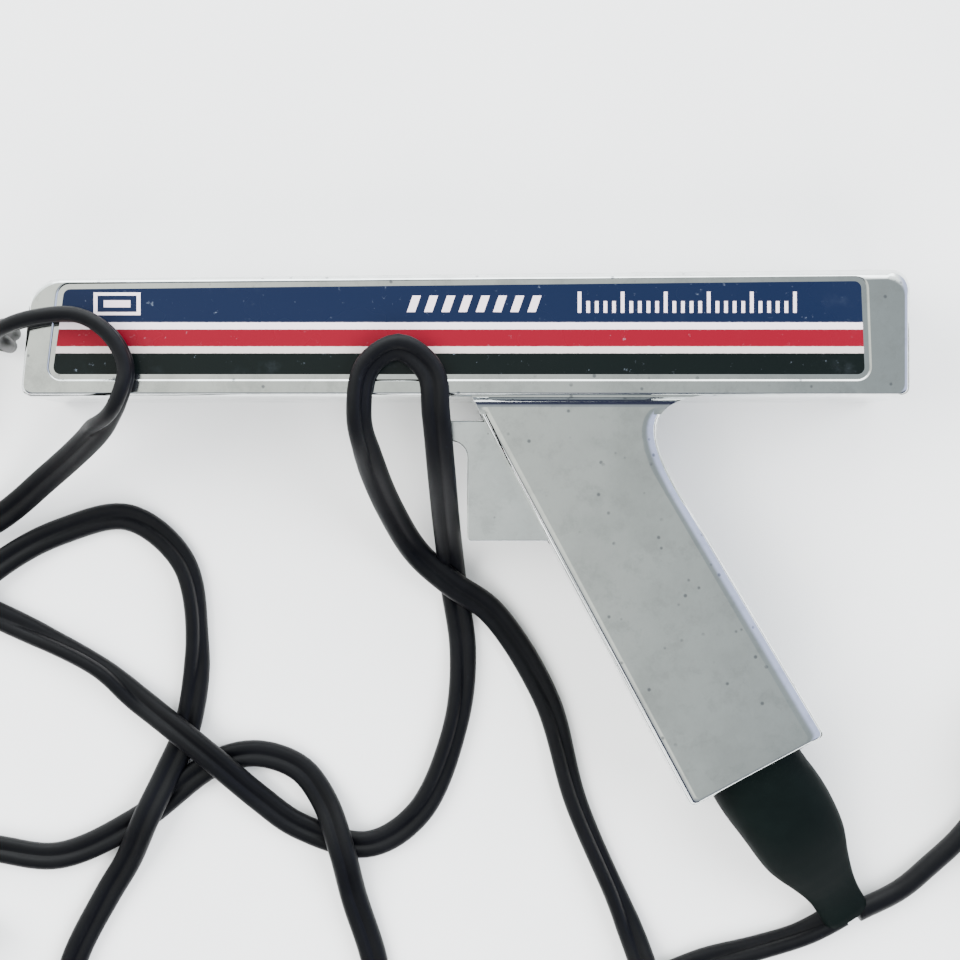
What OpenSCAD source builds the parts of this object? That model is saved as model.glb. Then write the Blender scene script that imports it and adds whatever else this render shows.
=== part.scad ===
// Inductive timing light: a pistol-shaped housing in two halves, with its lamp, trigger and
// circuit inside, a power lead with two battery clips and a pickup lead with its clamp.
// It lies on its right side. The origin is on the resting face, at the middle of the barrel's
// length and height: +X runs to the rear of the barrel, +Y to its top, +Z up to the left side.

/* [Barrel] */
// Length of the barrel, muzzle to rear
barrel_l = 228; // [190:1:275]
// Height of the barrel at its rear end
barrel_h = 32.8; // [31:0.2:40]
// Thickness of the barrel, right side to left side
barrel_w = 42; // [38:0.5:52]
// How far the top edge falls towards the muzzle
muzzle_drop = 2.6; // [0:0.1:3]
// How far the muzzle face leans back at its top
muzzle_rake = 2.7; // [0:0.1:4]
// Wall thickness of the housing
wall = 2.4; // [2:0.1:3]

/* [Grip] */
// Angle between the grip and the barrel's vertical
grip_angle = 28.2; // [20:0.1:34]
// Length of the grip along its front edge
grip_l = 115.2; // [95:0.2:135]
// Width of the grip at its bottom
grip_d = 39.2; // [35:0.5:46]
// Width of the grip where the palm rests
palm_d = 36.8; // [34:0.2:44]
// Step from the barrel's side down to the grip's side
grip_step = 4; // [2.5:0.1:6]
// Place of the grip's front edge along the barrel
grip_x = 4; // [-5:0.5:8]

/* [Label] */
// Thickness of the printed label plates
label_t = 0.6; // [0.4:0.1:0.8]
// Depth of the stepped border around the left label
border_t = 0.5; // [0.3:0.1:0.7]
// Width of the stepped border
border_w = 1.3; // [0.8:0.1:2]

/* [Lamp] */
// Diameter of the lens
lens_d = 20; // [17:0.5:21]
// Outside diameter of the lens bezel
bezel_d = 23.6; // [22:0.1:24]
// Distance from the muzzle to the bezel
bezel_setback = 11; // [10:0.5:16]

/* [Trigger] */
// Thickness of the trigger
trigger_w = 14; // [10:0.5:16]
// Side clearance of the trigger in its slot
trigger_gap = 0.3; // [0.2:0.1:0.6]
// Diameter of the trigger's hinge pin
trigger_pin_d = 3; // [2.4:0.1:3.6]
// Radial running clearance of hinge bores
running_gap = 0.05; // [0.03:0.01:0.08]

/* [Screws] */
// Shank diameter of the housing screws
screw_d = 2.9; // [2.4:0.1:3.2]
// Head diameter of the housing screws
screw_head_d = 5.6; // [5:0.1:6.4]

/* [Clips] */
// Length of a battery clip's jaws, from the rivet
jaw_l = 32; // [26:0.5:40]
// Width of a battery clip's sheet metal
clip_w = 12; // [10:0.5:14]
// Sheet thickness of the battery clips
sheet_t = 1; // [0.8:0.1:1.2]
// Diameter of the clip rivets
rivet_d = 3; // [2.5:0.1:3.5]
// Thickness of the vinyl handle boots
boot_t = 1.2; // [0.8:0.1:1.6]

/* [Pickup clamp] */
// Thickness of the pickup clamp
pickup_w = 18; // [16:0.5:22]
// Diameter of the ignition lead that the cores close on
plug_lead_d = 9; // [7:0.5:10]
// Length of the ferrite cores along that lead
core_l = 12; // [10:0.5:14]

/* [Hidden] */
GUN = ["left_shell", "right_shell", "left_label", "right_label", "lens_bezel", "lens", "reflector",
       "flash_tube", "tube_holder", "trigger_coil", "circuit_board", "storage_capacitor",
       "inverter_transformer", "heat_sink", "power_transistor", "board_components", "trigger",
       "trigger_pin", "trigger_spring", "micro_switch", "switch_plunger", "strain_relief"];
LEADS = ["power_lead", "power_lead_coil", "red_branch", "black_branch",
         "pickup_lead", "pickup_lead_coil"];
PICKUP = ["pickup_fixed_half", "pickup_moving_half", "pickup_fixed_core", "pickup_moving_core",
          "pickup_pin", "pickup_spring"];
SCREWS = [for (i = [1:5]) str("housing_screw_", i)];
CLIP_PIECES = ["fixed_jaw", "moving_jaw", "fixed_boot", "moving_boot", "rivet", "spring"];
CLIPS = [for (side = ["red", "black"]) for (piece = CLIP_PIECES) str(side, "_clip_", piece)];

eps = 0.01;
far = 400;
bore_fn = 48;
split = barrel_w / 2;
half_h = barrel_h / 2;
half_l = barrel_l / 2;

// Edge roundings of the barrel's side faces
side_round = 3.2;
bottom_round = 1.2;
muzzle_round = 1.3;
top_round = 3.3;
rear_round = 2.2;
end_round = 1.4;
muzzle_corner_r = 8;
rear_corner_r = 5;
low_corner_r = 2.4;

// Edge roundings of the grip
grip_side_round = 3;
grip_front_round = 2.4;
grip_back_round = 4.4;
grip_end_round = 1.4;
grip_corner_r = 1.4;
grip_top_t = -8;
palm_t = 62;
cove_r = 4.4;

white = [0.94, 0.94, 0.92];
chrome = [0.78, 0.79, 0.80];
ink = [0.05, 0.08, 0.12];
rubber = [0.06, 0.06, 0.065];
steel = [0.62, 0.63, 0.65];
red = [0.72, 0.10, 0.12];

function unit(v) = v / norm(v);
function dir(a) = [cos(a), sin(a)];

// The arc that rounds the corner at b, between the edges to a and to c
function corner_arc(a, b, c, r, n) =
    let (u = unit(a - b), v = unit(c - b), half = acos(u * v) / 2,
         m = b + unit(u + v) * r / sin(half),
         s = b + u * r / tan(half) - m, e = b + v * r / tan(half) - m,
         a0 = atan2(s.y, s.x), turn = atan2(cross(s, e), s * e))
    [for (i = [0:n]) m + r * dir(a0 + turn * i / n)];

// A closed outline from corners given as [x, y, radius]
function rounded(c, n = 5) =
    let (m = len(c), p = [for (q = c) [q.x, q.y]])
    [for (i = [0:m - 1]) each corner_arc(p[(i + m - 1) % m], p[i], p[(i + 1) % m], c[i].z, n)];

function bezier(p, q, r, s, t) =
    pow(1 - t, 3) * p + 3 * pow(1 - t, 2) * t * q + 3 * (1 - t) * t * t * r + pow(t, 3) * s;

// Triangulated skin over rings that each hold the same number of points
module skin(rings) {
    n = len(rings[0]);
    m = len(rings);
    sides = [for (i = [0:m - 2]) for (j = [0:n - 1])
        [i * n + j, (i + 1) * n + j, (i + 1) * n + (j + 1) % n, i * n + (j + 1) % n]];
    first = [for (j = [0:n - 1]) j];
    last = [for (j = [n - 1:-1:0]) (m - 1) * n + j];
    polyhedron([for (r = rings) each r], concat([first], sides, [last]), convexity = 8);
}

// Rings of a rounded edge: outlines shrink towards z = low as a quarter ellipse
edge_steps = 4;
function edge_level(i) = 1 - cos(90 * (edge_steps - i) / edge_steps);
function edge_z(i, depth) = depth * (1 - sin(90 * (edge_steps - i) / edge_steps));
function lifted(outline, z) = [for (p = outline) [p.x, p.y, z]];

// ---- Housing outlines ----

// Height of the barrel's top edge above its middle, at a place along X
function top_at(x) = half_h - muzzle_drop * (half_l - x) / barrel_l;

// The barrel's side outline, drawn in by a share k of its edge rounding and by a wall d
function barrel_outline(k = 0, d = 0) =
    let (front = -half_l + k * end_round + d, rear = half_l - k * rear_round - d,
         low = -half_h + k * bottom_round + d)
    rounded([[front, low, low_corner_r - d / 2],
             [rear, low, low_corner_r - d / 2],
             [rear, half_h - k * top_round - d, rear_corner_r - d],
             [front + muzzle_rake, top_at(front) - k * muzzle_round - d, muzzle_corner_r - d]]);

// A place on the grip: t along its front edge from the barrel, w across from that edge
grip_top = [grip_x, -half_h - cove_r];
grip_u = [sin(grip_angle), -cos(grip_angle)];
grip_v = [cos(grip_angle), sin(grip_angle)];
function on_grip(t, w) = grip_top + t * grip_u + w * grip_v;

// The web between thumb and finger, from the palm up to the barrel's underside
web_steps = 8;
web_reach = 26;
web_flat = 28;
web_end = 61;
web_sink = 0.6;
function web_point(i, back) =
    let (p = on_grip(palm_t, palm_d - back), s = [grip_x + web_end - back, web_sink - half_h],
         q = p - web_reach * unit(on_grip(grip_l, grip_d) - on_grip(palm_t, palm_d)),
         r = s - [web_flat, web_sink])
    bezier(p, q, r, s, i / web_steps);

// The grip's side outline, drawn in from its front, back and bottom edges. Its back follows
// the web, or runs straight up to the barrel
function grip_outline(front = 0, back = 0, bottom = 0, web = true) =
    let (a = on_grip(grip_top_t, front), b = on_grip(grip_l - bottom, front),
         c = on_grip(grip_l - bottom, grip_d - back), d = web_point(0, back))
    concat(corner_arc(a, b, c, grip_corner_r, 5),
           corner_arc(b, c, d, grip_corner_r, 5),
           web ? [for (i = [0:web_steps]) web_point(i, back)] : [d],
           [[grip_x + web_end - back, a.y], a]);

// ---- Housing ----

module barrel_skin() {
    edge = [for (i = [0:edge_steps])
        lifted(barrel_outline(edge_level(i)), edge_z(i, side_round))];
    skin(concat(edge, [lifted(barrel_outline(), split)]));
}

// The space behind the web, between the palm and the barrel's underside
module web_hollow() {
    reach = 30;
    high = web_point(web_steps, 0);
    low = web_point(0, 0);
    linear_extrude(split + 1) polygon(concat(
        [for (i = [0:web_steps]) web_point(i, 0)],
        [[high.x + reach, high.y], [high.x + reach, low.y]]));
}

module grip_skin() {
    edge = [for (i = [0:edge_steps]) let (k = edge_level(i))
        lifted(grip_outline(k * grip_front_round, k * grip_back_round, k * grip_end_round,
                            false), grip_step + edge_z(i, grip_side_round))];
    difference() {
        skin(concat(edge, [lifted(grip_outline(0, 0, 0, false), split)]));
        web_hollow();
    }
}

// The neck under the barrel, hollowed by a quarter round from the barrel's edge to the grip
module cove() {
    inset = 0.1;
    low = 2;
    difference() {
        intersection() {
            translate([0, 0, low]) linear_extrude(split - low - inset)
                polygon(grip_outline(inset, inset));
            translate([-far / 2, -half_h - cove_r, 0]) cube([far, cove_r + 3, split]);
        }
        translate([-far / 2, -half_h - cove_r, 0]) rotate([0, 90, 0])
            cylinder(r = cove_r, h = far, $fn = bore_fn);
    }
}

module cavity() {
    translate([0, 0, wall]) linear_extrude(split) polygon(barrel_outline(0, wall));
    translate([0, 0, grip_step + wall]) linear_extrude(split)
        polygon(grip_outline(wall, wall, wall));
}

board_x0 = -42;
sink_x = board_x0 + 90;

// Screw places, and the thickness of wall and step under each boss
screw_places = [
    [[-half_l / 2, -half_h + 5.8], wall],
    [[sink_x + 20, top_at(0) - 5.2], wall],
    [[half_l - 12, -3], wall],
    [on_grip(46, palm_d - 8), grip_step + wall],
    [on_grip(grip_l - 24, 8), grip_step + wall]];
boss_r = screw_head_d / 2 + 1.2;
pilot_r = screw_d / 2 + 0.05;
clear_r = screw_d / 2 + 0.2;
head_h = 2.2;
head_sink = 1.2;
pilot_end = 8;

trigger_z0 = split - trigger_w / 2;
pivot = on_grip(8.4, 5.2);
pivot_boss_r = 4;
pivot_boss_h = split - trigger_w / 2 - 3.4;
spring_h = 2.6;

switch_t = 24;
switch_l = 20;
switch_w0 = 12.5;
switch_d = 10;
switch_h = 6.4;
peg_d = 2.8;
peg_places = [on_grip(switch_t + 4, switch_w0 + 7.4), on_grip(switch_t + 16, switch_w0 + 7.4)];

boot_neck_r = 8;
boot_start = on_grip(grip_l, grip_d / 2);
lens_y = (top_at(-half_l) - half_h) / 2;
muzzle_hole_d = bezel_d - 2.4;

label_front = -half_l + 10;
label_rear = half_l - 13;
label_low = -half_h + 5.7;
label_high = half_h - 3.3;
label_lean = 3;
label_r = 1.8;

// The label's outline, grown by g on every side
function label_outline(g = 0) =
    rounded([[label_front - g - label_lean / 2, label_low - g, label_r + g],
             [label_rear + g + 1, label_low - g, label_r + g],
             [label_rear + g, label_high + g, label_r + g],
             [label_front - g + label_lean / 2, top_at(label_front) - 2.9 + g, label_r + g]], 4);

module drill(place, r, z0, z1) {
    translate([place.x, place.y, z0]) cylinder(r = r, h = z1 - z0, $fn = bore_fn);
}

// One half of the housing, lying outer face down on z = 0
module housing_half() {
    difference() {
        union() {
            difference() {
                union() {
                    barrel_skin();
                    grip_skin();
                    cove();
                }
                cavity();
            }
            for (s = screw_places) drill(s[0], boss_r, s[1] - eps, split);
            drill(pivot, pivot_boss_r, grip_step + wall - eps, pivot_boss_h);
        }
        translate([0, 0, trigger_z0 - trigger_gap]) linear_extrude(split) polygon(slot_outline());
        translate([-half_l - 5, lens_y, split]) rotate([0, 90, 0])
            cylinder(d = muzzle_hole_d, h = bezel_setback + 5, $fn = bore_fn);
        boot_bore();
        drill(pivot, trigger_pin_d / 2 + running_gap / 2, pivot_boss_h - 5, split);
    }
}

// The slot that the trigger passes through in the grip's front wall
function slot_outline() =
    [on_grip(-0.6, -4), on_grip(-0.6, wall + 1.5), on_grip(39.5, wall + 1.5), on_grip(37.5, -4)];

module boot_bore() {
    translate([boot_start.x, boot_start.y, split]) rotate([0, 0, -90 + grip_angle])
        rotate([0, 90, 0]) translate([0, 0, -wall - 3])
            cylinder(r = boot_neck_r + 0.1, h = wall + 8, $fn = bore_fn);
}

module right_shell() {
    color(chrome) difference() {
        union() {
            housing_half();
            for (p = peg_places) drill(p, peg_d / 2, grip_step + wall - eps, split + 2);
        }
        translate([0, 0, -eps]) linear_extrude(label_t + eps) polygon(label_outline());
        for (s = screw_places) {
            drill(s[0], clear_r, -1, far);
            drill(s[0], screw_head_d / 2 + 0.2, -1, s[1] - wall + head_sink + head_h);
        }
    }
}

module left_shell() {
    color(chrome) translate([0, 0, barrel_w]) mirror([0, 0, 1]) difference() {
        housing_half();
        translate([0, 0, -eps]) linear_extrude(border_t + eps) polygon(label_outline(border_w));
        translate([0, 0, -eps]) linear_extrude(border_t + label_t + eps)
            polygon(label_outline());
        for (s = screw_places) drill(s[0], pilot_r, pilot_end, far);
    }
}

module right_label() {
    color(ink) linear_extrude(label_t) polygon(label_outline());
}

module left_label() {
    color(ink) translate([0, 0, barrel_w - border_t - label_t]) linear_extrude(label_t)
        polygon(label_outline());
}

// A pan-head screw, driven from the right side up into the left half
module housing_screw(s) {
    base = s[1] - wall + head_sink;
    slot_w = 0.9;
    slot_h = 0.8;
    color(steel) difference() {
        union() {
            drill(s[0], screw_head_d / 2, base, base + head_h);
            drill(s[0], screw_d / 2, base + head_h - eps, barrel_w - pilot_end - 3);
        }
        translate([s[0].x - slot_w / 2, s[0].y - screw_head_d, base - eps])
            cube([slot_w, 2 * screw_head_d, slot_h]);
    }
}

// ---- Lamp ----

bezel_x = -half_l + bezel_setback;
bezel_l = 9;
lens_t = 4.2;
lens_x = bezel_x + 2;

// Turns a profile drawn as [radius, distance] round the barrel's optical axis, from x
module turned(x) {
    translate([x, lens_y, split]) rotate([0, 90, 0]) rotate_extrude($fn = 64) children();
}

module lens_bezel() {
    lip = lens_d / 2 - 1.2;
    seat = lens_d / 2 + 0.1;
    color(rubber) turned(bezel_x)
        polygon([[lip, 0], [bezel_d / 2, 0], [bezel_d / 2, bezel_l], [seat, bezel_l],
                 [seat, 2], [lip, 2]]);
}

module lens() {
    dome = 2.6;
    r = lens_d / 2;
    ball = (r * r + dome * dome) / (2 * dome);
    half_angle = asin(r / ball);
    color([0.85, 0.92, 0.95]) turned(lens_x)
        polygon(concat([[0, lens_t], [r, lens_t], [r, dome]],
                       [for (i = [1:8]) let (a = half_angle * (1 - i / 8))
                           [ball * sin(a), ball * (1 - cos(a))]]));
}

reflector_x = bezel_x + 14;
reflector_l = 14;
function dish(x) = 2.8 + 8 * sqrt(1 - x / reflector_l);

module reflector() {
    n = 8;
    skin_t = 0.9;
    inner = [for (i = [0:n]) [dish(reflector_l * i / n), reflector_l * i / n]];
    outer = [for (i = [n:-1:0]) [dish(reflector_l * i / n) + skin_t, reflector_l * i / n]];
    color(chrome) turned(reflector_x) polygon(concat(inner, outer));
}

tube_r = 2.2;
holder_x = reflector_x + reflector_l;

module flash_tube() {
    color([0.9, 0.93, 0.95]) translate([holder_x - 11, lens_y, split]) rotate([0, 90, 0]) {
        cylinder(r = tube_r, h = 11, $fn = bore_fn);
        sphere(r = tube_r, $fn = bore_fn);
    }
}

module tube_holder() {
    flange_r = 10.4;
    color(white) translate([holder_x, lens_y, split]) rotate([0, 90, 0]) {
        cylinder(r = flange_r, h = 2.4, $fn = 64);
        cylinder(r = 5, h = 8, $fn = bore_fn);
    }
}

// ---- Circuit ----

board_t = 1.6;
board_x1 = half_l - 24;
board_y = -half_h + 9.5;
board_z0 = wall + 1;
board_top = board_y + board_t;

module circuit_board() {
    color([0.15, 0.35, 0.2])
        translate([board_x0, board_y, board_z0])
            cube([board_x1 - board_x0, board_t, barrel_w - 2 * board_z0]);
}

module trigger_coil() {
    color([0.75, 0.6, 0.2]) translate([board_x0 + 7, board_top, split + 9]) rotate([-90, 0, 0]) {
        cylinder(r = 4.5, h = 1.2, $fn = bore_fn);
        cylinder(r = 3.4, h = 10, $fn = bore_fn);
        translate([0, 0, 10 - eps]) cylinder(r = 4.5, h = 1.2, $fn = bore_fn);
    }
}

cap_r = 7.6;
cap_l = 34;
module storage_capacitor() {
    groove = 0.8;
    color([0.2, 0.25, 0.5]) translate([board_x0 + 16, board_top + cap_r, split - 6])
        rotate([0, 90, 0]) difference() {
            cylinder(r = cap_r, h = cap_l, $fn = 64);
            translate([0, 0, 2.5]) difference() {
                cylinder(r = cap_r + 1, h = groove, $fn = 64);
                translate([0, 0, -1]) cylinder(r = cap_r - groove, h = 3, $fn = 64);
            }
        }
}

module inverter_transformer() {
    x = board_x0 + 58;
    core = [20, 14, 18];
    color([0.35, 0.3, 0.28]) translate([x, board_top, split - core.z / 2 - 4]) cube(core);
    color([0.8, 0.55, 0.2]) translate([x + core.x / 2, board_top + core.y / 2, split - 4])
        cylinder(d = 12, h = core.z + 5, center = true, $fn = bore_fn);
}

module heat_sink() {
    fins = 5;
    fin_t = 1.2;
    pitch = 4;
    sink_h = 13;
    color([0.7, 0.7, 0.72]) translate([sink_x, board_top, split - 13]) {
        cube([2, sink_h, fin_t + pitch * (fins - 1)]);
        for (i = [0:fins - 1]) translate([0, 0, pitch * i]) cube([10, sink_h, fin_t]);
    }
}

module power_transistor() {
    size = [4.4, 12, 10];
    color([0.12, 0.12, 0.12]) translate([sink_x - size.x, board_top, split - 10]) cube(size);
}

module board_components() {
    parts = 6;
    pitch = 8;
    color([0.7, 0.55, 0.4]) for (i = [0:parts - 1])
        translate([board_x0 + 22 + i * pitch, board_top + 1.6, split + 10])
            cylinder(r = 1.5, h = 7, $fn = 24);
    color([0.2, 0.2, 0.22]) for (i = [0:parts - 1])
        translate([board_x0 + 21.4 + i * pitch, board_top, split + 11]) cube([1.2, 1, 1]);
}

// ---- Trigger ----

trigger_front = grip_x - 3.7;
trigger_low = grip_top.y - 32.9;
trigger_top = grip_top.y - 1.4;
trigger_inside = 4.9;

// The trigger's side outline: hook and finger face in front, the lever inside the grip
function trigger_outline() =
    let (low_in = (grip_top.y - trigger_low) / cos(grip_angle),
         back_low = on_grip(low_in, 0) + [trigger_inside / cos(grip_angle), 0],
         ear = 4.6, back_high = on_grip(8.4 + ear, trigger_inside),
         hook_x = trigger_front - 5.3, hook_low = trigger_top - 5.3)
    concat(
        [[trigger_front + 0.8, trigger_low], [back_low.x, trigger_low]],
        [back_high],
        [for (i = [0:6]) pivot + ear * dir(-30 + 20 * i)],
        [[pivot.x - 1, trigger_top], [hook_x + 1, trigger_top], [hook_x, trigger_top - 1],
         [hook_x, hook_low + 0.8], [hook_x + 0.8, hook_low]],
        [for (i = [1:6]) [trigger_front - 4.4, hook_low - 4.2]
            + [4.4 * sin(15 * i), 4.2 * cos(15 * i)]],
        [[trigger_front, trigger_low + 0.8]]);

module trigger() {
    color(chrome) difference() {
        translate([0, 0, trigger_z0]) linear_extrude(trigger_w) polygon(trigger_outline());
        drill(pivot, trigger_pin_d / 2 + running_gap, 0, barrel_w);
    }
}

module trigger_pin() {
    reach = 4;
    color(steel) drill(pivot, trigger_pin_d / 2, pivot_boss_h - reach,
                       barrel_w - pivot_boss_h + reach);
}

module trigger_spring() {
    play = 0.2;
    wire = 0.9;
    color(steel) translate([pivot.x, pivot.y, pivot_boss_h + 0.2]) difference() {
        cylinder(r = trigger_pin_d / 2 + play + wire, h = spring_h, $fn = bore_fn);
        translate([0, 0, -1]) cylinder(r = trigger_pin_d / 2 + play, h = 5, $fn = bore_fn);
    }
}

// Turns children drawn as [t, w, z] into the grip's own directions
module in_grip(t, w) {
    p = on_grip(t, w);
    translate([p.x, p.y, 0]) rotate([0, 0, grip_angle - 90]) children();
}

plunger_r = 1.5;
plunger_t = 30;
plunger_out = 7.1;
plunger_in = 2.5;

module micro_switch() {
    z0 = split - switch_h / 2;
    color([0.1, 0.1, 0.11]) difference() {
        in_grip(switch_t, switch_w0) translate([0, 0, z0]) cube([switch_l, switch_d, switch_h]);
        for (p = peg_places) drill(p, peg_d / 2 + 0.05, 0, barrel_w);
        in_grip(plunger_t, switch_w0 - 1) translate([0, 0, split]) rotate([-90, 0, 0])
            cylinder(r = plunger_r + 0.08, h = plunger_in + 4.6, $fn = bore_fn);
    }
}

module switch_plunger() {
    color([0.8, 0.1, 0.1]) in_grip(plunger_t, switch_w0 - plunger_out) translate([0, 0, split])
        rotate([-90, 0, 0]) cylinder(r = plunger_r, h = plunger_out + plunger_in, $fn = bore_fn);
}

// ---- Strain relief and leads ----

// Rings across a route: each ring is an ellipse with one axis level
function level_side(t) = unit([-t.y, t.x, 0]);
function ring_at(p, t, a, b, n) =
    let (s = level_side(t), u = cross(unit(t), s))
    [for (j = [0:n - 1]) p + a * cos(360 * j / n) * s + b * sin(360 * j / n) * u];
function along(route, i) = route[min(i + 1, len(route) - 1)] - route[max(i - 1, 0)];

module lead_tube(route, a, b, n = 8) {
    skin([for (i = [0:len(route) - 1]) ring_at(route[i], along(route, i), a, b, n)]);
}

// Centre, half width and half height of the boot from the grip's end down to the leads
boot_run = [
    [[0, 0, 0], 13.2, 11.5],
    [[8.5, -12, -1], 12.8, 10.6],
    [[15.5, -23.5, -6], 12, 8.8],
    [[22.5, -34, -12], 9, 6.4],
    [[28, -43, -16.4], 6.8, 3.8]];

module strain_relief() {
    start = [boot_start.x, boot_start.y, split];
    route = [for (b = boot_run) start + b[0]];
    // The first ring lies flat on the grip's end
    flat_end = concat([start - [grip_u.x, grip_u.y, 0]], [for (i = [1:4]) route[i]]);
    color(rubber) {
        skin([for (i = [0:4]) ring_at(route[i],
            i == 0 ? [grip_u.x, grip_u.y, 0] : along(flat_end, i),
            boot_run[i][1], boot_run[i][2], 16)]);
        translate(start) rotate([0, 0, -90 + grip_angle]) rotate([0, 90, 0])
            translate([0, 0, -wall - 2]) cylinder(r = boot_neck_r, h = wall + 2.5, $fn = bore_fn);
        translate(start) rotate([0, 0, -90 + grip_angle]) rotate([0, 90, 0])
            translate([0, 0, -wall - 4]) cylinder(r = boot_neck_r + 2.5, h = 3.8, $fn = bore_fn);
    }
}

// The leads start at the boot's end, and the last loop, the coil and the clips keep their
// distance from the muzzle
boot_end = [boot_start.x + boot_run[4][0].x, boot_start.y + boot_run[4][0].y, 0];
function from_boot(points) = [for (p = points) p + boot_end];
function from_muzzle(points) = [for (p = points) p - [half_l, 0, 0]];

lead_a = 3.6;
lead_b = 2.1;
lie = 2.2;
over = 6.9;
top = 45;
power_route = concat(
    from_boot([[-0.7, -0.4, 4.6], [-11.7, -6.4, lie], [-24.7, -10.4, lie]]),
    [[66, -170, lie], [54, -175, lie],
    [43, -183, lie], [39, -193, lie], [46, -202, lie], [56, -199, lie], [57, -188, 3.4],
    [50.5, -176, over], [46, -164, 3.4], [42, -154, lie], [30, -126, lie], [22, -98, lie],
    [7, -74, 3.6], [-4, -66, over], [-13, -58, 8.6], [-20, -46, 19], [-25, -32, 35],
    [-27, -21, top], [-25, -9, top], [-17, -4, top], [-9, -10, top], [-7.5, -21, top],
    [-6.5, -33, 37], [-5.5, -47, 21], [-4.5, -58, 8], [-3.5, -67, lie], [-1, -85, lie],
    [-3, -105, lie], [-13, -129, lie], [-27, -138, lie], [-46, -133, lie], [-57, -125, 3.4],
    [-68, -115, over], [-79, -106, over], [-90, -98, 3.4], [-101, -89, lie], [-129, -75, lie],
    [-141, -70, lie], [-154, -66, lie], [-167, -68, lie], [-174, -78, lie], [-171, -89, lie],
    [-161, -94, lie], [-150, -87, 3.4], [-140, -72, over], [-127, -60, 3.2], [-112, -52, lie],
    [-93, -48, lie], [-78, -60, lie], [-74, -82, lie], [-77, -106, lie], [-82, -118, 3.4],
    [-87.5, -130, over], [-93, -142, 3.4], [-99, -152, lie], [-108, -170, lie],
    [-111, -186, lie], [-102, -198, lie], [-84, -203, lie], [-60, -203, lie], [-38, -201, lie],
    [-25, -190, lie], [-25, -172, lie], [-31, -152, 3.4], [-34, -139, over], [-39, -126, 3.4],
    [-46, -117, lie], [-58, -113, lie], [-70, -116, lie], [-90, -131, lie], [-112, -141, lie],
    [-131, -139, lie], [-152, -137, lie], [-173, -126, lie], [-187, -107, lie],
    [-190, -86, lie], [-182, -67, lie], [-166, -58, lie], [-147, -56, lie], [-130, -49, 3]],
    from_muzzle([
    [1, -37, 13], [17, -26, 32], [26, -18, top + 0.6], [28, -9, top], [24, -1, top],
    [16, 4, top], [5, 3.5, top], [-4, 1, 41], [-7.5, 0, 26], [-10, 0.5, 9],
    [-19, 3, lie], [-32, 8, lie], [-44, 14, 3.4]]));

module power_lead() {
    color(rubber) lead_tube(power_route, lead_a, lead_b);
}

// A coil at rest, as the ring-shaped space that its turns take up
module coil_space(centre, r, width, height) {
    translate(centre) rotate_extrude($fn = 64) translate([r - width / 2, 0])
        square([width, height]);
}

power_coil_centre = [-half_l - 56, -15, 0];
power_coil_r = 31;
power_coil_width = 11;
power_coil_height = 9;
module power_lead_coil() {
    color(rubber) coil_space(power_coil_centre, power_coil_r, power_coil_width,
                             power_coil_height);
}

branch_r = 1.8;
branch_lie = 1.9;
red_route = from_muzzle([
    [-85, -22, branch_lie + 1], [-86, -45, branch_lie], [-87, -75, branch_lie],
    [-88, -105, branch_lie], [-89, -135, branch_lie], [-90, -155, branch_lie + 1],
    [-88, -166, 5], [-81.5, -170.5, 7.2]]);
black_route = from_muzzle([
    [-89, -22, branch_lie + 1], [-90, -45, branch_lie], [-91, -75, branch_lie],
    [-92, -105, branch_lie], [-93, -135, branch_lie], [-95, -165, branch_lie],
    [-94, -185, branch_lie + 1], [-89, -196, 5], [-81.5, -199.5, 7.2]]);
module red_branch() {
    color(red) lead_tube(red_route, branch_r, branch_r);
}
module black_branch() {
    color(rubber) lead_tube(black_route, branch_r, branch_r);
}

pickup_r = 2.95;
pickup_lie = 3;
pickup_high = 14.8;
pickup_route = concat(
    from_boot([[3.3, 0.1, 4.6], [15.3, 5.6, pickup_lie]]),
    [[127.5, -143.5, pickup_lie], [136, -135.5, pickup_lie], [142, -127, pickup_lie],
    [144.5, -118, pickup_lie]]);
pickup_tail = [
    [186, -84, pickup_high], [194, -83, pickup_high], [199, -77, 12], [200.3, -66, 9]];
module pickup_lead() {
    color(rubber) {
        lead_tube(pickup_route, pickup_r, pickup_r);
        lead_tube(pickup_tail, pickup_r, pickup_r);
    }
}

pickup_coil_centre = [180, -118, 0];
pickup_coil_r = 28.9;
pickup_coil_width = 18.6;
pickup_coil_height = 17.8;
module pickup_lead_coil() {
    color(rubber) coil_space(pickup_coil_centre, pickup_coil_r, pickup_coil_width,
                             pickup_coil_height);
}

// ---- Battery clips ----

red_pivot = [-half_l - 49, -160.5, 0];
black_pivot = [-half_l - 49, -189.5, 0];
handle_l = 31;
handle_out = 12.8;
handle_in = 8.2;
handle_start = -9;
teeth = 8;
tooth_h = 1.3;
tooth_start = 9;
clip_z0 = boot_t;
nest_gap = 0.3;
ear_r = 4.6;
jaw_out = 6.5;
tip_out = 2.6;

// Side outline of the fixed half: toothed jaw, round ear and handle, below the middle line
function jaw_profile() =
    let (pitch = (jaw_l - tooth_start) / teeth)
    concat(
        [[-handle_l, -handle_out], [handle_start, -jaw_out - 1.2], [0, -jaw_out],
         [jaw_l * 0.7, -jaw_out + 0.6], [jaw_l, -tip_out]],
        [for (i = [teeth:-1:1]) each [[tooth_start + pitch * i, -0.3],
                                      [tooth_start + pitch * (i - 0.5), -0.3 - tooth_h]]],
        [[tooth_start, -0.3], [ear_r, -1.5]],
        [for (i = [0:6]) ear_r * dir(-15 + 35 * i)],
        [[handle_start, -4.4], [-handle_l, -handle_in]]);

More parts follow.
